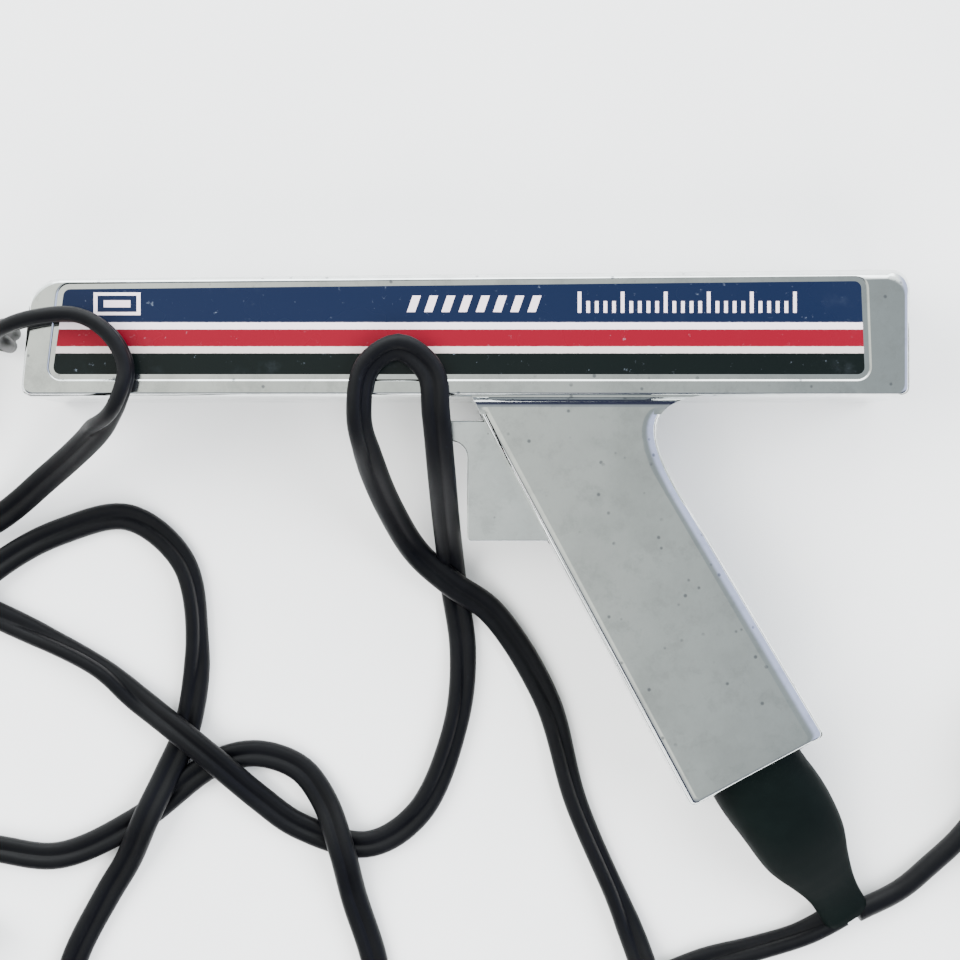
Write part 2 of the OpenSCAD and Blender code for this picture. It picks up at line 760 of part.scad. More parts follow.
// The outline of the channel's inside, one sheet in from the outer edge
function channel_profile() =
    [[-handle_l - 1, -handle_out + sheet_t - 0.2], [handle_start, -jaw_out - 1.2 + sheet_t],
     [0, -jaw_out + sheet_t], [jaw_l * 0.7, -jaw_out + 0.6 + sheet_t],
     [jaw_l + 1, -tip_out + sheet_t], [jaw_l + 1, ear_r + 2], [-handle_l - 1, ear_r + 2]];

// One pressed half of a clip, between two heights
module clip_half(z0, z1, bore_r) {
    difference() {
        translate([0, 0, z0]) linear_extrude(z1 - z0) polygon(jaw_profile());
        translate([0, 0, z0 + sheet_t]) linear_extrude(z1 - z0 - 2 * sheet_t)
            polygon(channel_profile());
        translate([0, 0, -1]) cylinder(r = bore_r, h = far, $fn = bore_fn);
    }
}

// The vinyl sleeve on a handle, open where the handle enters it
module handle_boot(z0, z1) {
    reach = handle_l - 9;
    grow = boot_t;
    outer = [[-handle_l - 1.6, -handle_out - grow], [-handle_l - 1.6, -handle_in + 0.4],
             [-handle_l + 1, -handle_in + grow * 0.6],
             [-handle_l + reach, -5.6 + grow * 0.6], [-handle_l + reach, -8.6 - grow]];
    difference() {
        translate([0, 0, z0 - boot_t]) linear_extrude(z1 - z0 + 2 * boot_t) polygon(outer);
        translate([0, 0, z0]) linear_extrude(z1 - z0) polygon(jaw_profile());
        translate([0, 0, z0 + sheet_t]) linear_extrude(z1 - z0 - 2 * sheet_t)
            polygon([[-handle_l + 2, -handle_out + 1], [0, -jaw_out], [0, 0],
                     [-handle_l + 2, -handle_in - 0.4]]);
    }
}

inner_z0 = clip_z0 + sheet_t + nest_gap;
inner_z1 = clip_z0 + clip_w - sheet_t - nest_gap;

module clip_piece(piece, boot_color) {
    if (piece == "fixed_jaw") color(steel)
        clip_half(clip_z0, clip_z0 + clip_w, rivet_d / 2 + 0.02);
    if (piece == "moving_jaw") color(steel) mirror([0, 1, 0])
        clip_half(inner_z0, inner_z1, rivet_d / 2 + running_gap);
    if (piece == "fixed_boot") color(boot_color) handle_boot(clip_z0, clip_z0 + clip_w);
    if (piece == "moving_boot") color(boot_color) mirror([0, 1, 0])
        handle_boot(inner_z0, inner_z1);
    if (piece == "rivet") color(steel) {
        translate([0, 0, clip_z0 - 0.8]) cylinder(r = rivet_d / 2 + 1, h = 0.8, $fn = bore_fn);
        translate([0, 0, clip_z0 - eps]) cylinder(d = rivet_d, h = clip_w + 2 * eps,
                                                  $fn = bore_fn);
        translate([0, 0, clip_z0 + clip_w]) cylinder(r = rivet_d / 2 + 1, h = 0.8,
                                                     $fn = bore_fn);
    }
    if (piece == "spring") color(steel) difference() {
        translate([0, 0, inner_z0 + sheet_t + 0.4])
            cylinder(r = rivet_d / 2 + 1.7, h = inner_z1 - inner_z0 - 2 * sheet_t - 0.8,
                     $fn = bore_fn);
        translate([0, 0, -1]) cylinder(r = rivet_d / 2 + 0.4, h = far, $fn = bore_fn);
    }
}

// ---- Pickup clamp ----

pickup_pivot = [188, -30, 0];
head_x0 = 14;
head_x1 = 38;
head_out = 13;
core_x = 26;
face_gap = 0.4;
core_half = 9;
core_deep = 9.4;
grip_end_x = -38;
knuckle_r = 5;
knuckle_gap = 0.4;
pickup_pin_r = 1.75;
low_knuckle = 4;
coil_gap_end = 8.2;
high_knuckle = pickup_w - 4.2;

// Side outline of the clamp's fixed half, below the middle line
function pickup_profile() =
    concat([[grip_end_x, -15], [-20, -12.6], [0, -9.5], [head_x0 - 3, -11.5],
            [head_x0, -head_out]],
           corner_arc([head_x0, -head_out], [head_x1, -head_out], [head_x1, 0], 3, 4),
           [[head_x1, -face_gap], [head_x0 - 2, -face_gap], [8, -4.5], [-6, -4],
            [grip_end_x, -9]]);

// The fixed half carries the outer knuckles and the moving half the middle one
module pickup_half(outer_knuckles) {
    knuckles = outer_knuckles ? [[0, low_knuckle], [high_knuckle, pickup_w]]
                              : [[coil_gap_end + knuckle_gap, high_knuckle - knuckle_gap]];
    pin_gap = outer_knuckles ? 0.02 : running_gap;
    difference() {
        union() {
            difference() {
                linear_extrude(pickup_w) polygon(pickup_profile());
                translate([0, 0, -1]) cylinder(r = knuckle_r + knuckle_gap, h = far,
                                               $fn = bore_fn);
            }
            for (k = knuckles) intersection() {
                translate([0, 0, k[0]]) linear_extrude(k[1] - k[0])
                    polygon(concat([for (i = [0:12]) knuckle_r * dir(15 * i)],
                                   [[-knuckle_r, -9], [knuckle_r, -9]]));
                translate([-far / 2, -9.6, 0]) cube([far, far, pickup_w]);
            }
        }
        translate([0, 0, -1]) cylinder(r = pickup_pin_r + pin_gap, h = far, $fn = bore_fn);
        translate([core_x, 0, -1]) cylinder(d = plug_lead_d + 1, h = far, $fn = bore_fn);
        translate([core_x - core_half, -core_deep, (pickup_w - core_l) / 2])
            cube([2 * core_half, core_deep + 1, core_l]);
    }
}

// A ferrite half core with its half of the ignition lead's bore
module half_core() {
    play = 0.05;
    color([0.2, 0.2, 0.21]) difference() {
        translate([core_x - core_half + play, -core_deep + play, (pickup_w - core_l) / 2 + play])
            cube([2 * (core_half - play), core_deep - play - 0.1, core_l - 2 * play]);
        translate([core_x, 0, -1]) cylinder(d = plug_lead_d, h = far, $fn = bore_fn);
    }
}

module at_pickup() {
    translate(pickup_pivot) rotate([0, 0, 90]) children();
}

module pickup_fixed_half() {
    color(rubber) at_pickup() pickup_half(true);
}
module pickup_moving_half() {
    color(rubber) at_pickup() mirror([0, 1, 0]) pickup_half(false);
}
module pickup_fixed_core() {
    at_pickup() half_core();
}
module pickup_moving_core() {
    at_pickup() mirror([0, 1, 0]) half_core();
}
module pickup_pin() {
    color(steel) at_pickup() translate([0, 0, 0.4])
        cylinder(r = pickup_pin_r, h = pickup_w - 0.8, $fn = bore_fn);
}
module pickup_spring() {
    color(steel) at_pickup() difference() {
        translate([0, 0, low_knuckle + 0.3])
            cylinder(r = pickup_pin_r + 2, h = coil_gap_end - low_knuckle - 0.3, $fn = bore_fn);
        translate([0, 0, -1]) cylinder(r = pickup_pin_r + 0.5, h = far, $fn = bore_fn);
    }
}

left_shell();
right_shell();
left_label();
right_label();
lens_bezel();
lens();
reflector();
flash_tube();
tube_holder();
trigger_coil();
circuit_board();
storage_capacitor();
inverter_transformer();
heat_sink();
power_transistor();
board_components();
trigger();
trigger_pin();
trigger_spring();
micro_switch();
switch_plunger();
strain_relief();
power_lead();
power_lead_coil();
red_branch();
black_branch();
pickup_lead();
pickup_lead_coil();
pickup_fixed_half();
pickup_moving_half();
pickup_fixed_core();
pickup_moving_core();
pickup_pin();
pickup_spring();
for (i = [0:len(SCREWS) - 1])
    housing_screw(screw_places[i]);
for (piece = CLIP_PIECES) {
    translate(red_pivot) clip_piece(piece, red);
    translate(black_pivot) clip_piece(piece, rubber);
}
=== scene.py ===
"""Looks of an inductive timing light: chrome housing, printed label, leads, clips and clamp."""
import logging
import math
from contextlib import contextmanager
from dataclasses import dataclass, field
from enum import Enum
from typing import Callable, Iterator, Sequence, Union

import bmesh
import bpy
from mathutils import Matrix, Vector


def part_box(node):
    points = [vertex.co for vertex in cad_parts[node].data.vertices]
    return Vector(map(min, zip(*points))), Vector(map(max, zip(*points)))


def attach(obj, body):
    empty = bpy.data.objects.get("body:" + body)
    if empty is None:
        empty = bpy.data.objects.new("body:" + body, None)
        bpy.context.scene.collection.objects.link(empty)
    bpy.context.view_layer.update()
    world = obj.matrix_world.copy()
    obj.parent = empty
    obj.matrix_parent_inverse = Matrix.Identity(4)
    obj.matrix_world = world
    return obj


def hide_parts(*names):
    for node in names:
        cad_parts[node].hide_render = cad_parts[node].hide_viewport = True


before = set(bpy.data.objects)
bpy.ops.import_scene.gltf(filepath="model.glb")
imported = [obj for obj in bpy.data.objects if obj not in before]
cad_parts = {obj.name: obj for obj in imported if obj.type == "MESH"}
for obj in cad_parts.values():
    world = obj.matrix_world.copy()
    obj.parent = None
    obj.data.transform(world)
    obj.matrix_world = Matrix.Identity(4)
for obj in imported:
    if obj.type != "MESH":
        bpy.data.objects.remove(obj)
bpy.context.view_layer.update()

LOG = logging.getLogger("timing_light")
MM = 0.001
ROUND_SIDES = 48  # points round a bar or a bore
EDGE_DEGREES = 32.0  # edges that turn by more are rounded
Point = tuple[float, float, float]
Flat = tuple[float, float]


# ---------------------------------------------------------------- shader tools

Value = Union[float, tuple, "Wire"]


class Wire:
    """One output socket of a shader tree, with arithmetic on its value."""

    def __init__(self, sheet: "Sheet", socket: bpy.types.NodeSocket) -> None:
        """Keeps the tree and the socket."""
        self.sheet = sheet
        self.socket = socket

    def _math(self, operation: str, *values: Value, clamp: bool = False) -> "Wire":
        """Adds a Math node on the values and returns its result."""
        return self.sheet.add("ShaderNodeMath", dict(enumerate(values)),
                              operation=operation, use_clamp=clamp)

    def beside(self, name: Union[str, int]) -> "Wire":
        """Returns another output of the same node."""
        return Wire(self.sheet, self.socket.node.outputs[name])

    def __add__(self, other: Value) -> "Wire":
        """Adds a value."""
        return self._math("ADD", self, other)

    __radd__ = __add__

    def __mul__(self, other: Value) -> "Wire":
        """Multiplies by a value."""
        return self._math("MULTIPLY", self, other)

    __rmul__ = __mul__

    def __sub__(self, other: Value) -> "Wire":
        """Takes a value away."""
        return self._math("SUBTRACT", self, other)

    def __rsub__(self, other: Value) -> "Wire":
        """Takes this value away from another."""
        return self._math("SUBTRACT", other, self)

    def over(self, edge: Value) -> "Wire":
        """Returns 1 where the value is above an edge, else 0."""
        return self._math("GREATER_THAN", self, edge)

    def between(self, low: float, high: float) -> "Wire":
        """Returns 1 where the value lies between two edges."""
        return self.over(low) * (1 - self.over(high))

    def ramp(self, low: float, high: float) -> "Wire":
        """Returns a smooth rise from 0 at low to 1 at high."""
        return self.sheet.add("ShaderNodeMapRange",
                              {"Value": self, "From Min": low, "From Max": high},
                              interpolation_type="SMOOTHSTEP")

    def repeat(self, step: float) -> "Wire":
        """Returns the place within each step, from 0 to 1."""
        return self._math("FRACT", self * (1 / step))

    def clipped(self) -> "Wire":
        """Returns the value held between 0 and 1."""
        return self._math("ADD", self, 0.0, clamp=True)


class Sheet:
    """A material under construction: its tree, its coordinates and its surface shader."""

    def __init__(self, name: str) -> None:
        """Starts an empty material.

        Args:
            name: The material's name.
        """
        self.material = bpy.data.materials.new(name)
        self.material.use_nodes = True
        self.tree = self.material.node_tree
        self.surface = self.tree.nodes["Principled BSDF"]
        self.place = self.add("ShaderNodeTexCoord", {}).beside("Object")

    def add(self, kind: str, inputs: dict, **settings: Union[str, bool]) -> Wire:
        """Adds a node.

        Args:
            kind: The node's type.
            inputs: Values or wires for its input sockets, by name or index.
            settings: The node's own settings.

        Returns:
            The new node's first output.
        """
        node = self.tree.nodes.new(kind)
        for key, value in settings.items():
            setattr(node, key, value)
        for key, value in inputs.items():
            self._feed(node.inputs[key], value)
        return Wire(self, node.outputs[0])

    def _feed(self, socket: bpy.types.NodeSocket, value: Value) -> None:
        """Links a wire to a socket, or sets the socket to a plain value."""
        if isinstance(value, Wire):
            self.tree.links.new(value.socket, socket)
        elif isinstance(value, (tuple, list)) and len(value) == 3 and len(
                socket.default_value) == 4:
            socket.default_value = (*value, 1.0)
        else:
            socket.default_value = value

    def set(self, **values: Value) -> None:
        """Feeds sockets of the surface shader; a name's underscores stand for spaces."""
        for key, value in values.items():
            self._feed(self.surface.inputs[key.replace("_", " ")], value)

    def noise(self, size: float, detail: float = 3.0, roughness: float = 0.5) -> Wire:
        """Returns noise of about 0 to 1 whose features are size metres across."""
        return self.add("ShaderNodeTexNoise", {
            "Vector": self.place, "Scale": 1 / size, "Detail": detail,
            "Roughness": roughness})

    def cells(self, size: float) -> Wire:
        """Returns the distance to scattered points that are size metres apart."""
        return self.add("ShaderNodeTexVoronoi", {
            "Vector": self.place, "Scale": 1 / size, "Randomness": 1.0})

    def axes(self) -> tuple[Wire, Wire, Wire]:
        """Returns the object's X, Y and Z at the shaded point, in metres."""
        x = self.add("ShaderNodeSeparateXYZ", {0: self.place})
        return x, x.beside(1), x.beside(2)

    def mix(self, share: Value, first: Value, second: Value) -> Wire:
        """Returns a blend of two colours."""
        return self.add("ShaderNodeMix", {0: share, 6: first, 7: second},
                        data_type="RGBA").beside(2)

    def bump(self, height: Wire, depth: float, strength: float = 1.0) -> None:
        """Feeds a bump of a height from 0 to 1, depth metres deep, to the normal."""
        self.set(Normal=self.add("ShaderNodeBump", {
            "Height": height, "Distance": depth, "Strength": strength}))


class Sky(Sheet):
    """The room's light under construction."""

    def __init__(self, name: str) -> None:
        """Starts an empty world; its place is a direction in the room.

        Args:
            name: The world's name.
        """
        self.world = bpy.data.worlds.new(name)
        self.world.use_nodes = True
        self.tree = self.world.node_tree
        self.surface = self.tree.nodes["Background"]
        self.place = self.add("ShaderNodeTexCoord", {})


# ---------------------------------------------------------------- finishes


@dataclass(frozen=True)
class Chrome:
    """Bright plate with a faint haze, wiping marks and small pits."""

    name: str = "chrome_plate"
    tint: Point = (0.80, 0.83, 0.82)
    polish: float = 0.05
    haze: float = 0.14
    pit_size: float = 0.0042
    pit_share: float = 0.16
    pit_tint: Point = (0.13, 0.14, 0.17)
    hazed: float = 0.86
    smeared: float = 0.66

    def make(self) -> bpy.types.Material:
        """Makes the finish.

        Returns:
            The material.
        """
        s = Sheet(self.name)
        cloud = s.noise(0.025, 5.0, 0.65).ramp(0.38, 0.66)
        smear = s.noise(0.0065, 5.0, 0.7).ramp(0.47, 0.70)
        fine = s.noise(0.0012, 2.0)
        pit = (1 - s.cells(self.pit_size).ramp(self.pit_share * 0.35, self.pit_share))
        pit = pit * s.noise(0.013, 2.0).ramp(0.42, 0.52)
        tone = s.mix(cloud, self.tint, tuple(self.hazed * c for c in self.tint))
        tone = s.mix(smear * 0.45, tone, tuple(self.smeared * c for c in self.tint))
        s.set(Metallic=1.0, Base_Color=s.mix(pit * 0.7, tone, self.pit_tint),
              Roughness=(self.polish + cloud * self.haze * 0.5 + smear * 0.06 + fine * 0.03
                         + pit * 0.12))
        s.bump(s.noise(0.011, 3.0) * 0.6 + fine * 0.1 - pit * 0.2, 0.00006, 0.6)
        return s.material


@dataclass(frozen=True)
class Moulded:
    """Moulded plastic or rubber with a fine grain and a worn, dusty sheen."""

    name: str
    colour: Point
    roughness: float = 0.45
    grain: float = 0.0006
    depth: float = 0.00004
    dust: float = 0.15
    sheen: Point = (0.25, 0.27, 0.30)
    coat: float = 0.0
    specular: float = 0.5

    def make(self) -> bpy.types.Material:
        """Makes the finish.

        Returns:
            The material.
        """
        s = Sheet(self.name)
        cloud = s.noise(0.025, 4.0, 0.6).ramp(0.3, 0.8)
        grain = s.noise(self.grain, 2.0)
        speck = s.noise(0.0016, 5.0, 0.7).ramp(0.66, 0.74)
        light = tuple(min(1.0, c * 1.6 + 0.0012) for c in self.colour)
        tone = s.mix(cloud, self.colour, light)
        s.set(Base_Color=s.mix(speck * self.dust, tone, self.sheen),
              Roughness=(self.roughness + cloud * 0.12 + grain * 0.06).clipped(),
              Coat_Weight=self.coat, Specular_IOR_Level=self.specular)
        s.bump(grain, self.depth, 0.6)
        return s.material


@dataclass(frozen=True)
class Metal:
    """Plain metal: drawn, plated or cast, with fine directional scratches."""

    name: str
    colour: Point
    roughness: float = 0.28
    scratch: float = 0.0005
    stain: Point = (0.35, 0.33, 0.30)
    drawn: Point = (0.12, 1.0, 1.0)

    def make(self) -> bpy.types.Material:
        """Makes the finish.

        Returns:
            The material.
        """
        s = Sheet(self.name)
        long_way = s.add("ShaderNodeMapping", {"Vector": s.place, "Scale": self.drawn})
        fine = s.add("ShaderNodeTexNoise", {
            "Vector": long_way, "Scale": 1 / self.scratch, "Detail": 3.0})
        cloud = s.noise(0.008, 4.0, 0.6).ramp(0.4, 0.75)
        s.set(Metallic=1.0, Base_Color=s.mix(cloud * 0.5, self.colour, self.stain),
              Roughness=(self.roughness + fine * 0.12 + cloud * 0.12))
        s.bump(fine, 0.00002, 0.5)
        return s.material


@dataclass(frozen=True)
class Clear:
    """Clear glass or plastic, with a little dust on it."""

    name: str
    tint: Point = (0.97, 0.985, 0.99)
    ior: float = 1.49
    roughness: float = 0.03
    dust: Point = (0.9, 0.91, 0.9)

    def make(self) -> bpy.types.Material:
        """Makes the finish.

        Returns:
            The material.
        """
        s = Sheet(self.name)
        smear = s.noise(0.006, 4.0, 0.6).ramp(0.4, 0.8)
        s.set(Base_Color=s.mix(smear * 0.3, self.tint, self.dust), IOR=self.ior,
              Transmission_Weight=1.0, Roughness=self.roughness + smear * 0.08)
        return s.material


class Ink(Enum):
    """Inks of the printed label, as linear colours."""

    NAVY = (0.0034, 0.0078, 0.026)
    WHITE = (0.74, 0.64, 0.69)
    RED = (0.145, 0.0022, 0.011)
    PINK = (0.50, 0.43, 0.42)
    BLACK = (0.0018, 0.0035, 0.0035)


@dataclass(frozen=True)
class Print:
    """The striped label, printed on a thin plate under clear lacquer."""

    name: str = "label_print"
    stripes: tuple[tuple[float, Ink], ...] = (
        (-5.25 * MM, Ink.PINK), (-3.5 * MM, Ink.RED), (0.85 * MM, Ink.WHITE),
        (2.65 * MM, Ink.NAVY))
    worn: Point = (0.30, 0.36, 0.44)
    frames: tuple[tuple[float, float, float, float], ...] = (
        (-95, -83, 4.4, 10.2), (-94, -84, 5.2, 9.4), (-92.4, -85.6, 6.4, 8.2))

    def make(self) -> bpy.types.Material:
        """Makes the finish.

        Returns:
            The material.
        """
        s = Sheet(self.name)
        x, y, _ = s.axes()
        waver = s.noise(0.0008, 2.0) * 0.00016
        colour: Value = Ink.BLACK.value
        for edge, ink in self.stripes:
            colour = s.mix((y + waver).ramp(edge - 0.0001, edge + 0.0001), colour, ink.value)
        marks = self._scale(x, y) + self._bars(x, y) + self._badge(x, y)
        colour = s.mix(marks.clipped() * 0.92, colour, Ink.WHITE.value)
        wear = s.noise(0.0022, 6.0, 0.75).ramp(0.63, 0.72)
        fade = s.noise(0.03, 3.0).ramp(0.35, 0.8)
        rub = s.noise(0.012, 5.0, 0.7).ramp(0.55, 0.78)
        colour = s.mix(wear * 0.30 + rub * fade * 0.05, colour, self.worn)
        s.set(Base_Color=colour, Roughness=0.24 + wear * 0.3 + fade * 0.12, Coat_Weight=0.06,
              Coat_Roughness=0.12, Specular_IOR_Level=0.2)
        s.bump(s.noise(0.004, 2.0), 0.00005, 0.4)
        return s.material

    def _scale(self, x: Wire, y: Wire) -> Wire:
        """Draws a plain row of tick marks, every fifth one taller.

        Args:
            x: Place along the label.
            y: Place up the label.

        Returns:
            1 on a mark, else 0.
        """
        start, stop, step, foot = 28 * MM, 85 * MM, 2.2 * MM, 5.0 * MM
        run = x - start
        tick = run.repeat(step).between(0.30, 0.72) * y.between(foot, foot + 3.0 * MM)
        tall = run.repeat(5 * step).between(0.06, 0.144) * y.between(foot, foot + 5.4 * MM)
        return (tick + tall) * x.between(start, stop)

    def _bars(self, x: Wire, y: Wire) -> Wire:
        """Returns a row of short leaning bars."""
        lean = x - y * 0.35
        return lean.repeat(4.4 * MM).between(0.18, 0.66) * lean.between(-18 * MM, 16.7 * MM) \
            * y.between(5.2 * MM, 9.4 * MM)

    def _badge(self, x: Wire, y: Wire) -> Wire:
        """Returns a plain oblong in a frame."""
        outer, inner, fill = (x.between(left * MM, right * MM) * y.between(low * MM, high * MM)
                              for left, right, low, high in self.frames)
        return outer - inner + fill


# ---------------------------------------------------------------- mesh tools


def new_piece(name: str, mesh: bpy.types.Mesh) -> bpy.types.Object:
    """Puts a mesh into the scene as a piece.

    Args:
        name: The piece's name.
        mesh: Its mesh.

    Returns:
        The new object.
    """
    piece = bpy.data.objects.new(name, mesh)
    bpy.context.scene.collection.objects.link(piece)
    return piece


@contextmanager
def opened(mesh: bpy.types.Mesh) -> Iterator[bmesh.types.BMesh]:
    """Opens a mesh for edits and writes them back at the end.

    Args:
        mesh: The mesh.
    """
    work = bmesh.new()
    work.from_mesh(mesh)
    yield work
    work.to_mesh(mesh)
    work.free()


def merge_flat(mesh: bpy.types.Mesh, gap: float, degrees: float) -> None:
    """Merges points closer than a gap, and faces that turn by less than some degrees."""
    with opened(mesh) as work:
        bmesh.ops.remove_doubles(work, verts=work.verts, dist=gap)
        bmesh.ops.dissolve_limit(work, angle_limit=math.radians(degrees), verts=work.verts,
                                 edges=work.edges)


def loft(name: str, rings: Sequence[Sequence[Point]], band: bool = False) -> bpy.types.Object:
    """Skins rings that hold the same number of points.

    Args:
        name: The piece's name.
        rings: Closed rings of points, in order.
        band: Whether the last ring joins the first, where both ends are else closed.

    Returns:
        The new piece.
    """
    count, total = len(rings[0]), len(rings)
    faces = [(i * count + j, i * count + (j + 1) % count,
              (i + 1) % total * count + (j + 1) % count, (i + 1) % total * count + j)
             for i in range(total if band else total - 1) for j in range(count)]
    if not band:
        faces.append(tuple(reversed(range(count))))
        faces.append(tuple(range((total - 1) * count, total * count)))
    mesh = bpy.data.meshes.new(name)
    mesh.from_pydata([p for ring in rings for p in ring], [], faces)
    with opened(mesh) as work:
        bmesh.ops.recalc_face_normals(work, faces=work.faces)
    return new_piece(name, mesh)


def circle(radius: float, sides: int = 20) -> list[Flat]:
    """Returns the points of a circle."""
    return [(radius * math.cos(a), radius * math.sin(a))
            for a in (2 * math.pi * i / sides for i in range(sides))]


def lifted(outline: Sequence[Flat], z: float) -> list[Point]:
    """Returns a flat outline at a height."""
    return [(x, y, z) for x, y in outline]


def prism(name: str, outline: Sequence[Flat], low: float, high: float) -> bpy.types.Object:
    """Returns an upright prism over an outline."""
    return loft(name, [lifted(outline, low), lifted(outline, high)])


def rod(name: str, start: Vector, end: Vector, radius: float) -> bpy.types.Object:
    """Returns a round bar between two points.

    Args:
        name: The piece's name.
        start: Centre of its first end.
        end: Centre of its last end.
        radius: Its radius.

    Returns:
        The new piece.
    """
    turn = (end - start).to_track_quat("Z", "Y")
    ring = [turn @ Vector((a, b, 0)) for a, b in circle(radius, ROUND_SIDES)]
    return loft(name, [[tuple(start + p) for p in ring], [tuple(end + p) for p in ring]])


def bake(piece: bpy.types.Object) -> None:
    """Applies a piece's modifiers to its mesh.

    Args:
        piece: The piece.
    """
    depsgraph = bpy.context.evaluated_depsgraph_get()
    mesh = bpy.data.meshes.new_from_object(piece.evaluated_get(depsgraph))
    old = piece.data
    piece.modifiers.clear()
    piece.data = mesh
    bpy.data.meshes.remove(old)


class Cut(Enum):
    """Ways to combine two solids."""

    JOIN = "UNION"
    TAKE = "DIFFERENCE"
    KEEP = "INTERSECT"


def combine(piece: bpy.types.Object, tool: bpy.types.Object, cut: Cut) -> None:
    """Combines a tool into a piece and removes the tool.

    Args:
        piece: The solid that changes.
        tool: The solid that is used up.
        cut: How they combine.
    """
    modifier = piece.modifiers.new("cut", "BOOLEAN")
    modifier.operation = cut.value
    modifier.solver = "EXACT"
    modifier.object = tool
    bake(piece)
    bpy.data.objects.remove(tool)


def shade(piece: bpy.types.Object, degrees: float) -> None:
    """Shades a piece smooth, apart from edges that turn by more than some degrees.

    Args:
        piece: The piece.
        degrees: The turn above which an edge stays sharp.
    """
    weight = piece.modifiers.new("shading", "WEIGHTED_NORMAL")
    weight.keep_sharp = True
    weight.weight = 90
    piece.data.shade_smooth()
    piece.data.set_sharp_from_angle(angle=math.radians(degrees))
    bake(piece)


def finish_edges(piece: bpy.types.Object, width: float, segments: int = 2) -> None:
    """Rounds a piece's sharp edges and shades the rest smooth.

    Args:
        piece: The piece.
        width: Width of the rounding; 0 leaves the edges sharp.
        segments: Steps in the rounding.
    """
    if width > 0:
        bevel = piece.modifiers.new("edges", "BEVEL")
        bevel.width = width
        bevel.segments = segments
        bevel.limit_method = "ANGLE"
        bevel.angle_limit = math.radians(EDGE_DEGREES)
        bevel.miter_outer = "MITER_ARC"
        bevel.use_clamp_overlap = True
    shade(piece, 40.0 if width > 0 else 30.0)


def dress(piece: bpy.types.Object, material: bpy.types.Material) -> None:
    """Gives a piece one material in every slot."""
    if not piece.material_slots:
        piece.data.materials.append(material)
    for slot in piece.material_slots:
        slot.material = material


def refined(node: str, body: str, material: bpy.types.Material, slot: str,
            width: float = 0.4 * MM, segments: int = 2) -> bpy.types.Object:
    """Stands in for a CAD node with the same shape, its edges rounded as moulded or pressed.

    Args:
        node: The CAD node.
        body: The body that it rides on.
        material: Its finish.
        slot: A slot name, passed on to settle.
        width: Width of the edge rounding.
        segments: Steps in the rounding.

    Returns:
        The new piece.
    """
    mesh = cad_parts[node].data.copy()
    mesh.materials.clear()
    merge_flat(mesh, 1e-6, 1.0)
    if mesh.has_custom_normals:
        mesh.normals_split_custom_set([(0.0, 0.0, 0.0)] * len(mesh.loops))
    piece = new_piece(f"{node}_body", mesh)
    finish_edges(piece, width, segments)
    settle(piece, body, slot, material, node)
    return piece


def settle(piece: bpy.types.Object, body: str, slot: str, material: bpy.types.Material,
           *replaced: str) -> None:
    """Dresses a piece, makes it ride on its body and hides the CAD nodes that it replaces.

    Args:
        piece: The piece.
        body: The body that it rides on.
        slot: Not used.
        material: Its finish.
        replaced: CAD nodes that it stands for.
    """
    dress(piece, material)
    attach(piece, body)
    if replaced:
        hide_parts(*replaced)
    LOG.info("%s: %d faces, on %s", piece.name, len(piece.data.polygons), body)


# ---------------------------------------------------------------- outlines


def unit(x: float, y: float) -> Flat:
    """Returns a flat direction of length 1."""
    size = math.hypot(x, y)
    return x / size, y / size


def corner_arc(a: Flat, b: Flat, c: Flat, radius: float, steps: int) -> list[Flat]:
    """Rounds the corner at b.

    Args:
        a: The corner before.
        b: The corner that is rounded.
        c: The corner after.
        radius: The radius.
        steps: Steps along the arc.

    Returns:
        The arc's points, from a's side to c's.
    """
    ux, uy = unit(a[0] - b[0], a[1] - b[1])
    vx, vy = unit(c[0] - b[0], c[1] - b[1])
    half = math.acos(max(-1.0, min(1.0, ux * vx + uy * vy))) / 2
    mx, my = unit(ux + vx, uy + vy)
    mid = (b[0] + mx * radius / math.sin(half), b[1] + my * radius / math.sin(half))
    reach = radius / math.tan(half)
    start = math.atan2(b[1] + uy * reach - mid[1], b[0] + ux * reach - mid[0])
    end = math.atan2(b[1] + vy * reach - mid[1], b[0] + vx * reach - mid[0])
    turn = (end - start + math.pi) % (2 * math.pi) - math.pi
    return [(mid[0] + radius * math.cos(start + turn * i / steps),
             mid[1] + radius * math.sin(start + turn * i / steps)) for i in range(steps + 1)]


def rounded(corners: Sequence[tuple[float, float, float]], steps: int = 12) -> list[Flat]:
    """Rounds corners given as x, y and radius into a closed outline.

    Args:
        corners: The corners in order.
        steps: Steps in each corner.

    Returns:
        The outline.
    """
    count = len(corners)
    flat = [(x, y) for x, y, _ in corners]
    return [p for i in range(count) for p in corner_arc(
        flat[i - 1], flat[i], flat[(i + 1) % count], corners[i][2], steps)]


# ---------------------------------------------------------------- lines and sweeps


def smooth(points: Sequence[Point], step: float) -> list[Vector]:
    """Runs one smooth curve through points and samples it evenly.

    Args:
        points: The points that it passes through.
        step: Distance between samples.

    Returns:
        The samples, from the first point to the last.
    """
    fixed = [Vector(p) for p in points]
    fixed = [2 * fixed[0] - fixed[1], *fixed, 2 * fixed[-1] - fixed[-2]]
    fine: list[Vector] = []
    for p0, p1, p2, p3 in zip(fixed, fixed[1:], fixed[2:], fixed[3:]):
        t1 = math.sqrt((p1 - p0).length)
        t2 = t1 + math.sqrt((p2 - p1).length)
        t3 = t2 + math.sqrt((p3 - p2).length)
        for k in range(12):
            t = t1 + (t2 - t1) * k / 12
            a1 = p0.lerp(p1, t / t1)
            a2 = p1.lerp(p2, (t - t1) / (t2 - t1))
            a3 = p2.lerp(p3, (t - t2) / (t3 - t2))
            b1, b2 = a1.lerp(a2, t / t2), a2.lerp(a3, (t - t1) / (t3 - t1))
            fine.append(b1.lerp(b2, (t - t1) / (t2 - t1)))
    fine.append(fixed[-2])
    return evenly(fine, step)


